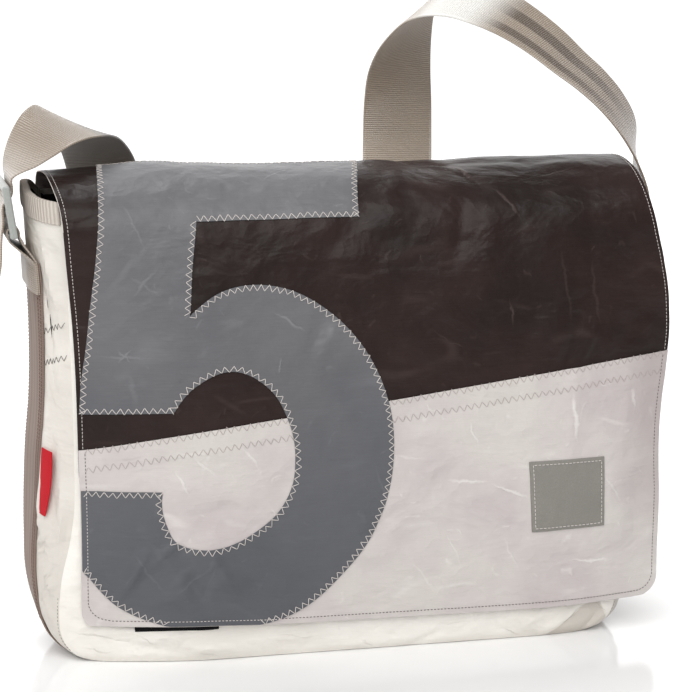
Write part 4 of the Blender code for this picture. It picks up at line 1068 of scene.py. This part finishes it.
def gusset_relief(where, y_share, value, width=0.110):
    """soft folds of the gusset by the distance from its front seam and its height"""
    if where == "bottom":
        return np.zeros_like(y_share)
    d = y_share * width
    r = folds(GUSSET_FOLDS, d, np.full_like(d, value)) if where == "left" else 0.6 * folds(GUSSET_FOLDS, d, np.full_like(d, value + 0.02))
    r = r + (0.9 * noise(d / 0.04, value / 0.05, 8) + 0.4 * noise(d / 0.016, value / 0.02, 9) + 1.6 * facets(d, np.full_like(d, value * 0.7), 0.022, 4)) * MM
    edge = smooth(np.minimum(y_share, 1 - y_share) / 0.05)
    web = np.exp(-(((y_share - 0.56) / 0.24) ** 6))
    return r * edge * (1 - 0.85 * web) * float(smooth((WALL_TOP - value) / 0.03))


corner_z = BODY_CORNER * (1 - np.cos(np.linspace(0, math.pi / 2, 16)))[1:]
side_z = np.concatenate([corner_z, np.linspace(BODY_CORNER, WALL_TOP, count(0.285, 2.8))[1:]])
bottom_u = np.linspace(0, 1, count(0.39, 4.0))
WAY = [("left", z) for z in side_z[::-1]] + [("bottom", u) for u in bottom_u] + [("right", z) for z in side_z]
TT = np.unique(np.concatenate([np.linspace(0, 1, count(0.115, 2.8)), (0.004, 0.012, 0.024, 0.976, 0.988, 0.996)]))


def gusset_grid():
    rows, cloth, run, last = [], [], 0.0, None
    for where, value in WAY:
        p, _ = gusset_point(where, value, TT, gusset_relief(where, TT, value))
        middle = p[len(TT) // 2]
        run += 0.0 if last is None else float(np.linalg.norm(middle - last))
        last = middle
        rows.append(p)
        cloth.append(np.stack([TT * 0.110, np.full_like(TT, run)], -1))
    return np.array(rows), np.array(cloth)


gusset = cloth_piece("gusset_cloth", [gusset_grid()], PANEL_CLOTH, [WHITE])

# lining
LINING_IN = 2.6 * MM
lz = np.concatenate([BODY_CORNER * (1 - np.cos(np.linspace(0, math.pi / 2, 6))), np.linspace(BODY_CORNER, WALL_TOP - 0.0035, count(0.28, 8.0))[1:]])
lu = np.linspace(0, 1, count(0.39, 8.0))
lt = np.linspace(0.1, 0.9, 14)


def lining_wall(which):
    zz = np.repeat(lz[:, None], len(lu), 1)
    left, right = outline_x("left", which, zz) + 0.0040, outline_x("right", which, zz) - 0.0040
    x = left + lu[None] * (right - left)
    y = front_y(x, zz) + LINING_IN if which == "front" else back_y(x, zz) - LINING_IN
    return np.stack([x, y, zz + 0.0036 * (1 - smooth(zz / 0.030))], -1), np.stack([x, zz], -1)


lf, lb = lining_wall("front"), lining_wall("back")
rows = []
for k, (where, value) in enumerate([("left", z) for z in lz[:0:-1]] + [("bottom", u) for u in lu] + [("right", z) for z in lz[1:]]):
    if where == "bottom":
        i, j = 0, int(np.argmin(abs(lu - value)))
    else:
        i, j = int(np.argmin(abs(lz - value))), 0 if where == "left" else -1
    p, _ = gusset_point(where, value, lt, -1.7 * MM)
    rows.append(np.concatenate([lf[0][i, j][None], p, lb[0][i, j][None]]))
rows = np.array(rows)
uv = np.stack(np.meshgrid(np.linspace(0, 0.11, rows.shape[1]), np.linspace(0, 1.0, rows.shape[0])), -1)
lining = cloth_piece("lining_cloth", [lf, lb, (rows, uv)], 0.8 * MM, [BLACK])


# binding over the rims
def binding_grid(side):
    t = np.linspace(0.012, 0.985, count(0.085, 1.8))
    outer, inner = 1.45 * MM, -3.0 * MM
    shape = ([(RIM_BAND * (1 - k / 7), outer) for k in range(8)]
             + [(-0.0002 - 0.0009 * math.sin(a), (outer + inner) / 2 + (outer - inner) / 2 * math.cos(a)) for a in np.linspace(0.2, math.pi - 0.2, 8)]
             + [(0.0045 * k / 5, inner) for k in range(6)])
    rows, cloth, run = [], [], 0.0
    for i, (drop, out) in enumerate(shape):
        puff = 0.25 * MM * math.sin(min(max(drop / RIM_BAND, 0), 1) * math.pi)
        p, _ = gusset_point(side, WALL_TOP - max(drop, 0.0003), t, out + (puff if out > 0 else 0.0))
        p = p + np.array((0, 0, max(-drop + 0.0003, 0.0)))
        run += 0.0 if i == 0 else float(np.linalg.norm(p[10] - rows[-1][10]))
        rows.append(p)
        cloth.append(np.stack([np.full_like(t, run), t * 0.085], -1))
    rows, cloth = np.array(rows), np.array(cloth)
    return (rows, cloth)


binding_left = cloth_piece("binding_left_band", [binding_grid("left")], 0.9 * MM, [BINDING], flip=True)
binding_right = cloth_piece("binding_right_band", [binding_grid("right")], 0.9 * MM, [BINDING])


# webbing on the gusset
def across_at(where, value, y):
    a, b = gusset_middle(where, value, np.array([0.0, 1.0]))[:, 1]
    return (y - a) / (b - a)


def webbing_grid(tops, out, thick, half=WEB_WIDTH / 2, wave=0.0):
    w = np.linspace(-half, half, 21)
    rows, cloth, run, last = [], [], 0.0, None
    for where, value in WAY:
        if where != "bottom" and value > tops[where]:
            continue
        t = across_at(where, value, WEB_MIDDLE_Y + w)
        p, _ = gusset_point(where, value, t, out)
        low = thick / 2
        p[:, 2] = low if where == "bottom" else np.maximum(p[:, 2], low)
        middle = p[10]
        run += 0.0 if last is None else float(np.linalg.norm(middle - last))
        last = middle
        rows.append(p)
        cloth.append(np.stack([w + half, np.full_like(w, run)], -1))
    return np.array(rows), np.array(cloth)


WEB_OUT = 1.40 * MM
web_grid = webbing_grid({"left": 0.268, "right": 0.275}, WEB_OUT, 1.4 * MM)
gusset_webbing = cloth_piece("gusset_webbing_band", [web_grid], 1.2 * MM, [WEB])


def on_gusset(where, value, y, out):
    t = across_at(where, value, np.atleast_1d(y))
    p, n = gusset_point(where, value, t, out)
    return p, n


def gusset_run(where, z0, z1, ys, pitch, out, gap=0.3):
    """straight stitches up one side of the gusset at a distance along Y that may change with height"""
    z = np.arange(z0, z1, pitch)
    s, e, n = [], [], []
    for k, a in enumerate(z):
        y = ys if np.isscalar(ys) else ys(a)
        p, nn = on_gusset(where, a, y, out)
        q, _ = on_gusset(where, a + pitch * (1 - gap), y, out)
        s.append(p[0]); e.append(q[0]); n.append(nn[0])
    return np.array(s), np.array(e), np.array(n)


parts = []
for where, top in (("left", 0.266), ("right", 0.272)):
    for y in (-WEB_WIDTH / 2 + 1.6 * MM, -WEB_WIDTH / 2 + 4.2 * MM, WEB_WIDTH / 2 - 1.6 * MM, WEB_WIDTH / 2 - 4.2 * MM):
        parts.append(gusset_run(where, 0.026, top, WEB_MIDDLE_Y + y, 2.5 * MM, WEB_OUT + 0.68 * MM))
webbing_stitches = threads("webbing_stitches", *(np.concatenate([f[k] for f in parts]) for k in range(3)), 0.30 * MM, THREAD_WEB)

# two zigzag seams across the left gusset and the right gusset
zs, ze, zn = [], [], []
for where in ("left", "right"):
    for low, high in ((0.1955, 0.2085), (0.2155, 0.2300)):
        for part in ((0.96, 0.80), (0.35, 0.02)):
            t = np.linspace(part[0], part[1], int(abs(part[0] - part[1]) * 110 / 2.1) + 1)
            z = low + (high - low) * np.clip((0.36 - t) / 0.33, -0.6, 1) + np.where(np.arange(len(t)) % 2 == 0, -1.8 * MM, 2.2 * MM)
            p = []
            for tt, zz in zip(t, z):
                a, nn = gusset_point(where, zz, np.array([tt]), gusset_relief(where, np.array([tt]), zz) + 0.66 * MM)
                p.append((a[0], nn[0]))
            zs += [q[0] for q in p[:-1]]; ze += [q[0] for q in p[1:]]; zn += [q[1] for q in p[:-1]]
side_zigzag = threads("side_zigzag", zs, ze, zn, 0.19 * MM, THREAD_DARK)

# dark stitches beside the front seam, round both lower corners and under the front
seam_s, seam_e, seam_n = [], [], []
way = [("left", z) for z in np.linspace(0.046, 0.0, 30)[:-1]] + [("bottom", u) for u in np.linspace(0, 1, 150)] + [("right", z) for z in np.linspace(0.0, 0.30, 120)[1:]]
pts, nrm = [], []
for where, value in way:
    p, n = gusset_point(where, value, np.array([0.010]), 0.62 * MM)
    pts.append(p[0]); nrm.append(n[0])
pts, nrm = np.array(pts), np.array(nrm)
q = resample(np.concatenate([pts, nrm * 1e-6], 1), 2.6 * MM)
q, qn = q[:, :3], unit(q[:, 3:])
seam_stitches = threads("front_seam_stitches", q[:-1], q[:-1] + (q[1:] - q[:-1]) * 0.72, qn[:-1], 0.18 * MM, THREAD_DARK)

# red tab, folded and caught in the webbing's seam
rows, cloth = [], []
for z in np.linspace(0.1440, 0.1000, 24):
    s = (z - 0.1000) / 0.044
    y0 = WEB_MIDDLE_Y - WEB_WIDTH / 2 - 0.0022
    y1 = WEB_MIDDLE_Y - WEB_WIDTH / 2 - 0.0150 + 0.0020 * (2 * s - 1) ** 2 + 0.0030 * (1 - s)
    ys = np.linspace(y0, y1, 9)
    t = across_at("left", z, ys)
    lift = np.linspace(1.5, 3.6, 9) * MM + 0.35 * MM * math.sin(s * 5.0) * np.linspace(0, 1, 9)
    p, _ = gusset_point("left", z, t, lift)
    rows.append(p)
    cloth.append(np.stack([ys, np.full_like(ys, z)], -1))
side_tab = cloth_piece("side_tab_tape", [(np.array(rows), np.array(cloth))], 0.9 * MM, [RED], flip=True)

# hook strip
x, z = np.meshgrid(np.linspace(-0.1495, -0.0945, 40), np.linspace(0.0246, 0.0450, 18))
y = front_y(x, z) - wall_relief(x, z) - 1.25 * MM
closure_strip = cloth_piece("hook_strip_tape", [(np.stack([x, y, z], -1), np.stack([x, z], -1))], 0.9 * MM, [HOOK])

# ------------------------------------------------------------------ buckle and strap
B_OUT = np.array((-math.cos(BUCKLE_LEAN), 0, -math.sin(BUCKLE_LEAN)))
B_DOWN = np.array((math.sin(BUCKLE_LEAN), 0, -math.cos(BUCKLE_LEAN)))
B_WIDE = np.array((0.0, 1.0, 0.0))


def at_buckle(wide, down, out):
    return BUCKLE_AT + B_WIDE * wide + B_DOWN * down + B_OUT * out


wide_cuts = [-BUCKLE_WIDTH / 2, -BUCKLE_WIDTH / 2 + 4.6 * MM, BUCKLE_WIDTH / 2 - 4.6 * MM, BUCKLE_WIDTH / 2]
down_cuts = [v * MM for v in (-18.0, -13.5, -3.0, 1.5, 12.5, 17.0)]
bm = bmesh.new()
grid = [[bm.verts.new(at_buckle(w, d, -BUCKLE_THICK / 2)) for w in wide_cuts] for d in down_cuts]
for i in range(5):
    for j in range(3):
        if j == 1 and i in (1, 3):
            continue
        bm.faces.new((grid[i][j], grid[i][j + 1], grid[i + 1][j + 1], grid[i + 1][j]))
made = bmesh.ops.extrude_face_region(bm, geom=bm.faces[:])["geom"]
bmesh.ops.translate(bm, verts=[g for g in made if isinstance(g, bmesh.types.BMVert)], vec=Vector(B_OUT * BUCKLE_THICK))
bmesh.ops.recalc_face_normals(bm, faces=bm.faces[:])
sharp = [e for e in bm.edges if e.calc_face_angle(0) > math.radians(30)]
bmesh.ops.bevel(bm, geom=sharp, offset=1.5 * MM, segments=5, profile=0.5, affect="EDGES")
mesh = bpy.data.meshes.new("buckle_moulding")
bm.to_mesh(mesh)
bm.free()
mesh.uv_layers.new(name="cloth")
mesh.materials.append(PLASTIC)
mesh.shade_smooth()
mesh.set_sharp_from_angle(angle=math.radians(50))
buckle = bpy.data.objects.new("buckle_moulding", mesh)
bpy.context.scene.collection.objects.link(buckle)
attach(buckle, "root")


def band_piece(name, rows, thick, mat, width=0.05):
    """strip of webbing from rows of points; its cloth coordinates run across and along it"""
    rows = np.array(rows)
    run = np.concatenate([[0], np.cumsum(np.linalg.norm(np.diff(rows.mean(1), axis=0), axis=1))])
    share = np.linspace(0, 1, rows.shape[1])
    uv = np.stack([np.repeat(share[None] * width, len(rows), 0), np.repeat(run[:, None], len(share), 1)], -1)
    return cloth_piece(name, [(rows, uv)], thick, [mat]), float(run[-1])


LOOP = Table("step down out", [(0, 17.5, -3.9), (1, 12.6, -3.8), (2, 10.6, -2.0), (3, 10.4, 0.5), (4, 11.4, 3.0), (5, 14.5, 3.9), (6, 19.0, 3.2), (7, 24.0, -0.6)])
widths = np.linspace(-24.5 * MM, 24.5 * MM, 15)
inner_layer, outer_layer = 2.85 * MM, 4.15 * MM


def loop_foot(z, out):
    return gusset_point("left", z, across_at("left", z, WEB_MIDDLE_Y + widths), out)[0]


def smooth_rows(rows, n):
    """even rows along a strip, drawn smoothly through the given ones"""
    rows = np.array(rows)
    d = np.concatenate([[0], np.cumsum(np.linalg.norm(np.diff(rows.mean(1), axis=0), axis=1))])
    q = np.linspace(0, d[-1], n)
    flat = rows.reshape(len(rows), -1)
    return np.stack([curve(d, flat[:, k], q) for k in range(flat.shape[1])], 1).reshape(n, rows.shape[1], 3)


rows = [loop_foot(z, inner_layer) for z in (0.246, 0.253, 0.260, 0.266)]
for step in np.arange(0, 7.01, 0.5):
    down, out = float(LOOP.read("down", step)) * MM, float(LOOP.read("out", step)) * MM
    rows.append(np.array([at_buckle(w, down, out) for w in widths]))
rows += [loop_foot(z, outer_layer) for z in (0.266, 0.260, 0.253, 0.246)]
buckle_loop, loop_length = band_piece("buckle_loop_band", smooth_rows(rows, 90), 1.1 * MM, LOOPWEB)

STRAP_PATH = Table("step x y z turn rise", [
    (0, 223, 4, 246, 90, 0), (1, 223, 4, 262, 90, 0), (2, 222.5, 5, 278, 89, 0), (3, 220, 5, 312, 80, 2), (4, 212, 6, 345, 60, 6), (5, 195, 13, 370, 52, 9),
    (6, 176, 24, 388, 48, 12), (7, 159, 35, 404, 44, 15), (8, 142, 47, 417, 42, 19), (9, 123, 61, 428, 40, 26), (10, 104, 80, 433, 41, 29),
    (11, 89, 102, 425, 40, 25), (12, 83, 123, 404, 29, 14), (13, 81, 139, 378, 12, 3), (14, 81, 145, 346, -5, 0), (15, 79, 138, 311, -13, 0),
    (16, 75, 124, 278, -19, 2), (17, 73, 113, 247, -28, 5), (18, 73, 108, 216, -39, 7), (19, 75, 104, 187, -52, 7), (20, 75, 100, 160, -65, 8),
    (21, 71, 95, 136, -77, 11), (22, 60, 89, 116, -86, 15), (23, 41, 85, 102, -91, 18), (24, 17, 84, 95, -92, 18), (25, -9, 85, 95, -92, 17),
    (26, -34, 87, 100, -94, 14), (27, -57, 91, 112, -98, 8), (28, -76, 96, 129, -105, 2), (29, -92, 101, 151, -113, -4), (30, -104, 104, 174, -123, -9),
    (31, -114, 106, 198, -134, -13), (32, -122, 106, 222, -146, -16), (33, -129, 104, 245, -158, -17), (34, -135, 101, 267, -170, -16),
    (35, -140, 96, 287, -183, -13), (36, -144, 89, 304, -194, -8), (37, -148, 81, 318, -201, -3), (38, -154, 69, 332, -206, -1),
    (39, -165, 46, 348, -213, 8), (40, -178, 23, 357, -221, 22), (41, -192, 9, 354, -231, 19), (42, -206, 3.5, 341, -243, 8),
    (43, -216.0, 1, 329, -258, -1)])
TAIL = Table("step down out", [(0, -20.5, -4.4), (1, -15.0, -4.3), (2, -11.0, -3.2), (3, -8.2, 0.0), (4, -5.4, 3.3), (5, -0.8, 4.4),
                               (6, 6.0, 5.2), (7, 13.0, 7.2), (8, 21.0, 9.0), (9, 30.0, 10.6), (10, 40.0, 13.5), (11, 50.0, 18.0)])
share = np.linspace(-0.5, 0.5, 15)
rows = []
for k in range(4):
    z = 0.246 + 0.010 * k
    rows.append(gusset_point("right", z, across_at("right", z, WEB_MIDDLE_Y + share * WEB_WIDTH), 3.05 * MM)[0])
for step in np.arange(2.6, 43.01, 0.7):
    x, y, z, turn, rise = (float(STRAP_PATH.read(k, step)) for k in ("x", "y", "z", "turn", "rise"))
    a, b = math.radians(turn), math.radians(rise)
    w = np.array((math.cos(a) * math.cos(b), math.sin(a) * math.cos(b), math.sin(b))) * WEB_WIDTH
    m = np.array((x, y, z)) * MM
    rows.append(m + share[:, None] * w)
for step in np.arange(0, 11.01, 0.5):
    down, out = float(TAIL.read("down", step)) * MM, float(TAIL.read("out", step)) * MM
    rows.append(np.array([at_buckle(s * WEB_WIDTH, down, out) for s in share]))
shoulder_strap, strap_length = band_piece("shoulder_strap_band", smooth_rows(rows, int(420 * DETAIL)), 1.4 * MM, STRAP)

# ------------------------------------------------------------------ what stands for what
for piece, node, slot in (
        (flap_lower, "flap_lower", "sailcloth_offwhite"), (flap_upper, "flap_upper", "sailcloth_brown"), (numeral, "flap_numeral", "sailcloth_grey"),
        (patch, "flap_patch", "patch_grey"), (front_panel, "front_panel", "sailcloth_white"), (back_panel, "back_panel", "sailcloth_white"),
        (gusset, "gusset", "sailcloth_white"), (lining, "lining", "lining_black"), (binding_left, "gusset_binding_left", "binding_beige"),
        (binding_right, "gusset_binding_right", "binding_beige"), (gusset_webbing, "gusset_webbing", "webbing_taupe"), (side_tab, "side_tab", "tab_red"),
        (closure_strip, "closure_strip", "hook_strip_black"), (buckle, "buckle", "buckle_plastic"), (buckle_loop, "buckle_loop", "webbing_taupe"),
        (shoulder_strap, "shoulder_strap", "webbing_taupe")):
    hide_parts(node)


# ------------------------------------------------------------------ studio
floor_mesh = bpy.data.meshes.new("studio_floor")
reach = 6.0
floor_mesh.from_pydata([(-reach, -reach, 0), (reach, -reach, 0), (reach, 2.55, 0), (-reach, 2.55, 0)], [], [(0, 1, 2, 3)])
floor = bpy.data.objects.new("studio_floor", floor_mesh)
bpy.context.scene.collection.objects.link(floor)
fm = bpy.data.materials.new("pale_floor")
fm.use_nodes = True
fb = fm.node_tree.nodes["Principled BSDF"]
fn = fm.node_tree.nodes.new("ShaderNodeTexNoise")
fn.inputs["Scale"].default_value = 3.0
fr = fm.node_tree.nodes.new("ShaderNodeMapRange")
fr.inputs["To Min"].default_value, fr.inputs["To Max"].default_value = 0.10, 0.14
fm.node_tree.links.new(fn.outputs["Fac"], fr.inputs["Value"])
fm.node_tree.links.new(fr.outputs["Result"], fb.inputs["Roughness"])
fb.inputs["Base Color"].default_value = (0.93, 0.93, 0.93, 1)
fb.inputs["Specular IOR Level"].default_value = 0.5
floor_mesh.materials.append(fm)
floor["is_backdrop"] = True

world = bpy.data.worlds.new("studio")
bpy.context.scene.world = world
world.use_nodes = True
wt = world.node_tree
background = wt.nodes["Background"]
lp = wt.nodes.new("ShaderNodeLightPath")
mr = wt.nodes.new("ShaderNodeMapRange")
mr.inputs["To Min"].default_value, mr.inputs["To Max"].default_value = 0.34, 1.2
wt.links.new(lp.outputs["Is Camera Ray"], mr.inputs["Value"])
wt.links.new(mr.outputs["Result"], background.inputs["Strength"])
background.inputs["Color"].default_value = (1.0, 1.0, 1.0, 1.0)


def softbox(name, at, aim, size, power, tint=(1, 1, 1)):
    light = bpy.data.lights.new(name, "AREA")
    light.shape = "RECTANGLE"
    light.size, light.size_y = size
    light.energy = power
    light.color = tint
    o = bpy.data.objects.new(name, light)
    o.location = at
    o.rotation_mode = "QUATERNION"
    o.rotation_quaternion = (Vector(aim) - Vector(at)).to_track_quat("-Z", "Y")
    bpy.context.scene.collection.objects.link(o)
    return o


sun = bpy.data.lights.new("wide_sky", "SUN")
sun.energy = 2.45
sun.angle = math.radians(60)
sun_obj = bpy.data.objects.new("wide_sky", sun)
sun_obj.rotation_mode = "QUATERNION"
sun_obj.rotation_quaternion = Vector((0.30, 0.82, -0.90)).to_track_quat("-Z", "Y")
bpy.context.scene.collection.objects.link(sun_obj)
softbox("overhead", (-0.24, 0.68, 1.9), (-0.02, 0.05, 0.30), (0.60, 0.42), 7.0)
back_sheet = softbox("back_sheet", (0.0, 2.6, 0.9), (0, 0, 0.6), (7.0, 3.4), 95)
back_sheet.visible_camera = False
left_back = softbox("left_back", (-1.5, 0.9, 0.8), (-0.2, 0.0, 0.26), (1.3, 1.4), 7)
left_back.visible_camera = False

# ------------------------------------------------------------------ camera
cam = bpy.data.cameras.new("camera")
cam.sensor_width = 36.0
cam.lens = 126.11
cam.clip_end = 50
cam_obj = bpy.data.objects.new("camera", cam)
bpy.context.scene.collection.objects.link(cam_obj)
turn, tilt, away = math.radians(13), math.radians(11.493), 1.6718
aim = Vector((0.0083, 0.0, 0.1996))
cam_obj.location = aim + Vector((-math.sin(turn) * math.cos(tilt), -math.cos(turn) * math.cos(tilt), math.sin(tilt))) * away
cam_obj.rotation_mode = "QUATERNION"
cam_obj.rotation_quaternion = (aim - cam_obj.location).to_track_quat("-Z", "Y")
bpy.context.scene.camera = cam_obj
bpy.context.scene.view_settings.view_transform = "Standard"

low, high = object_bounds()
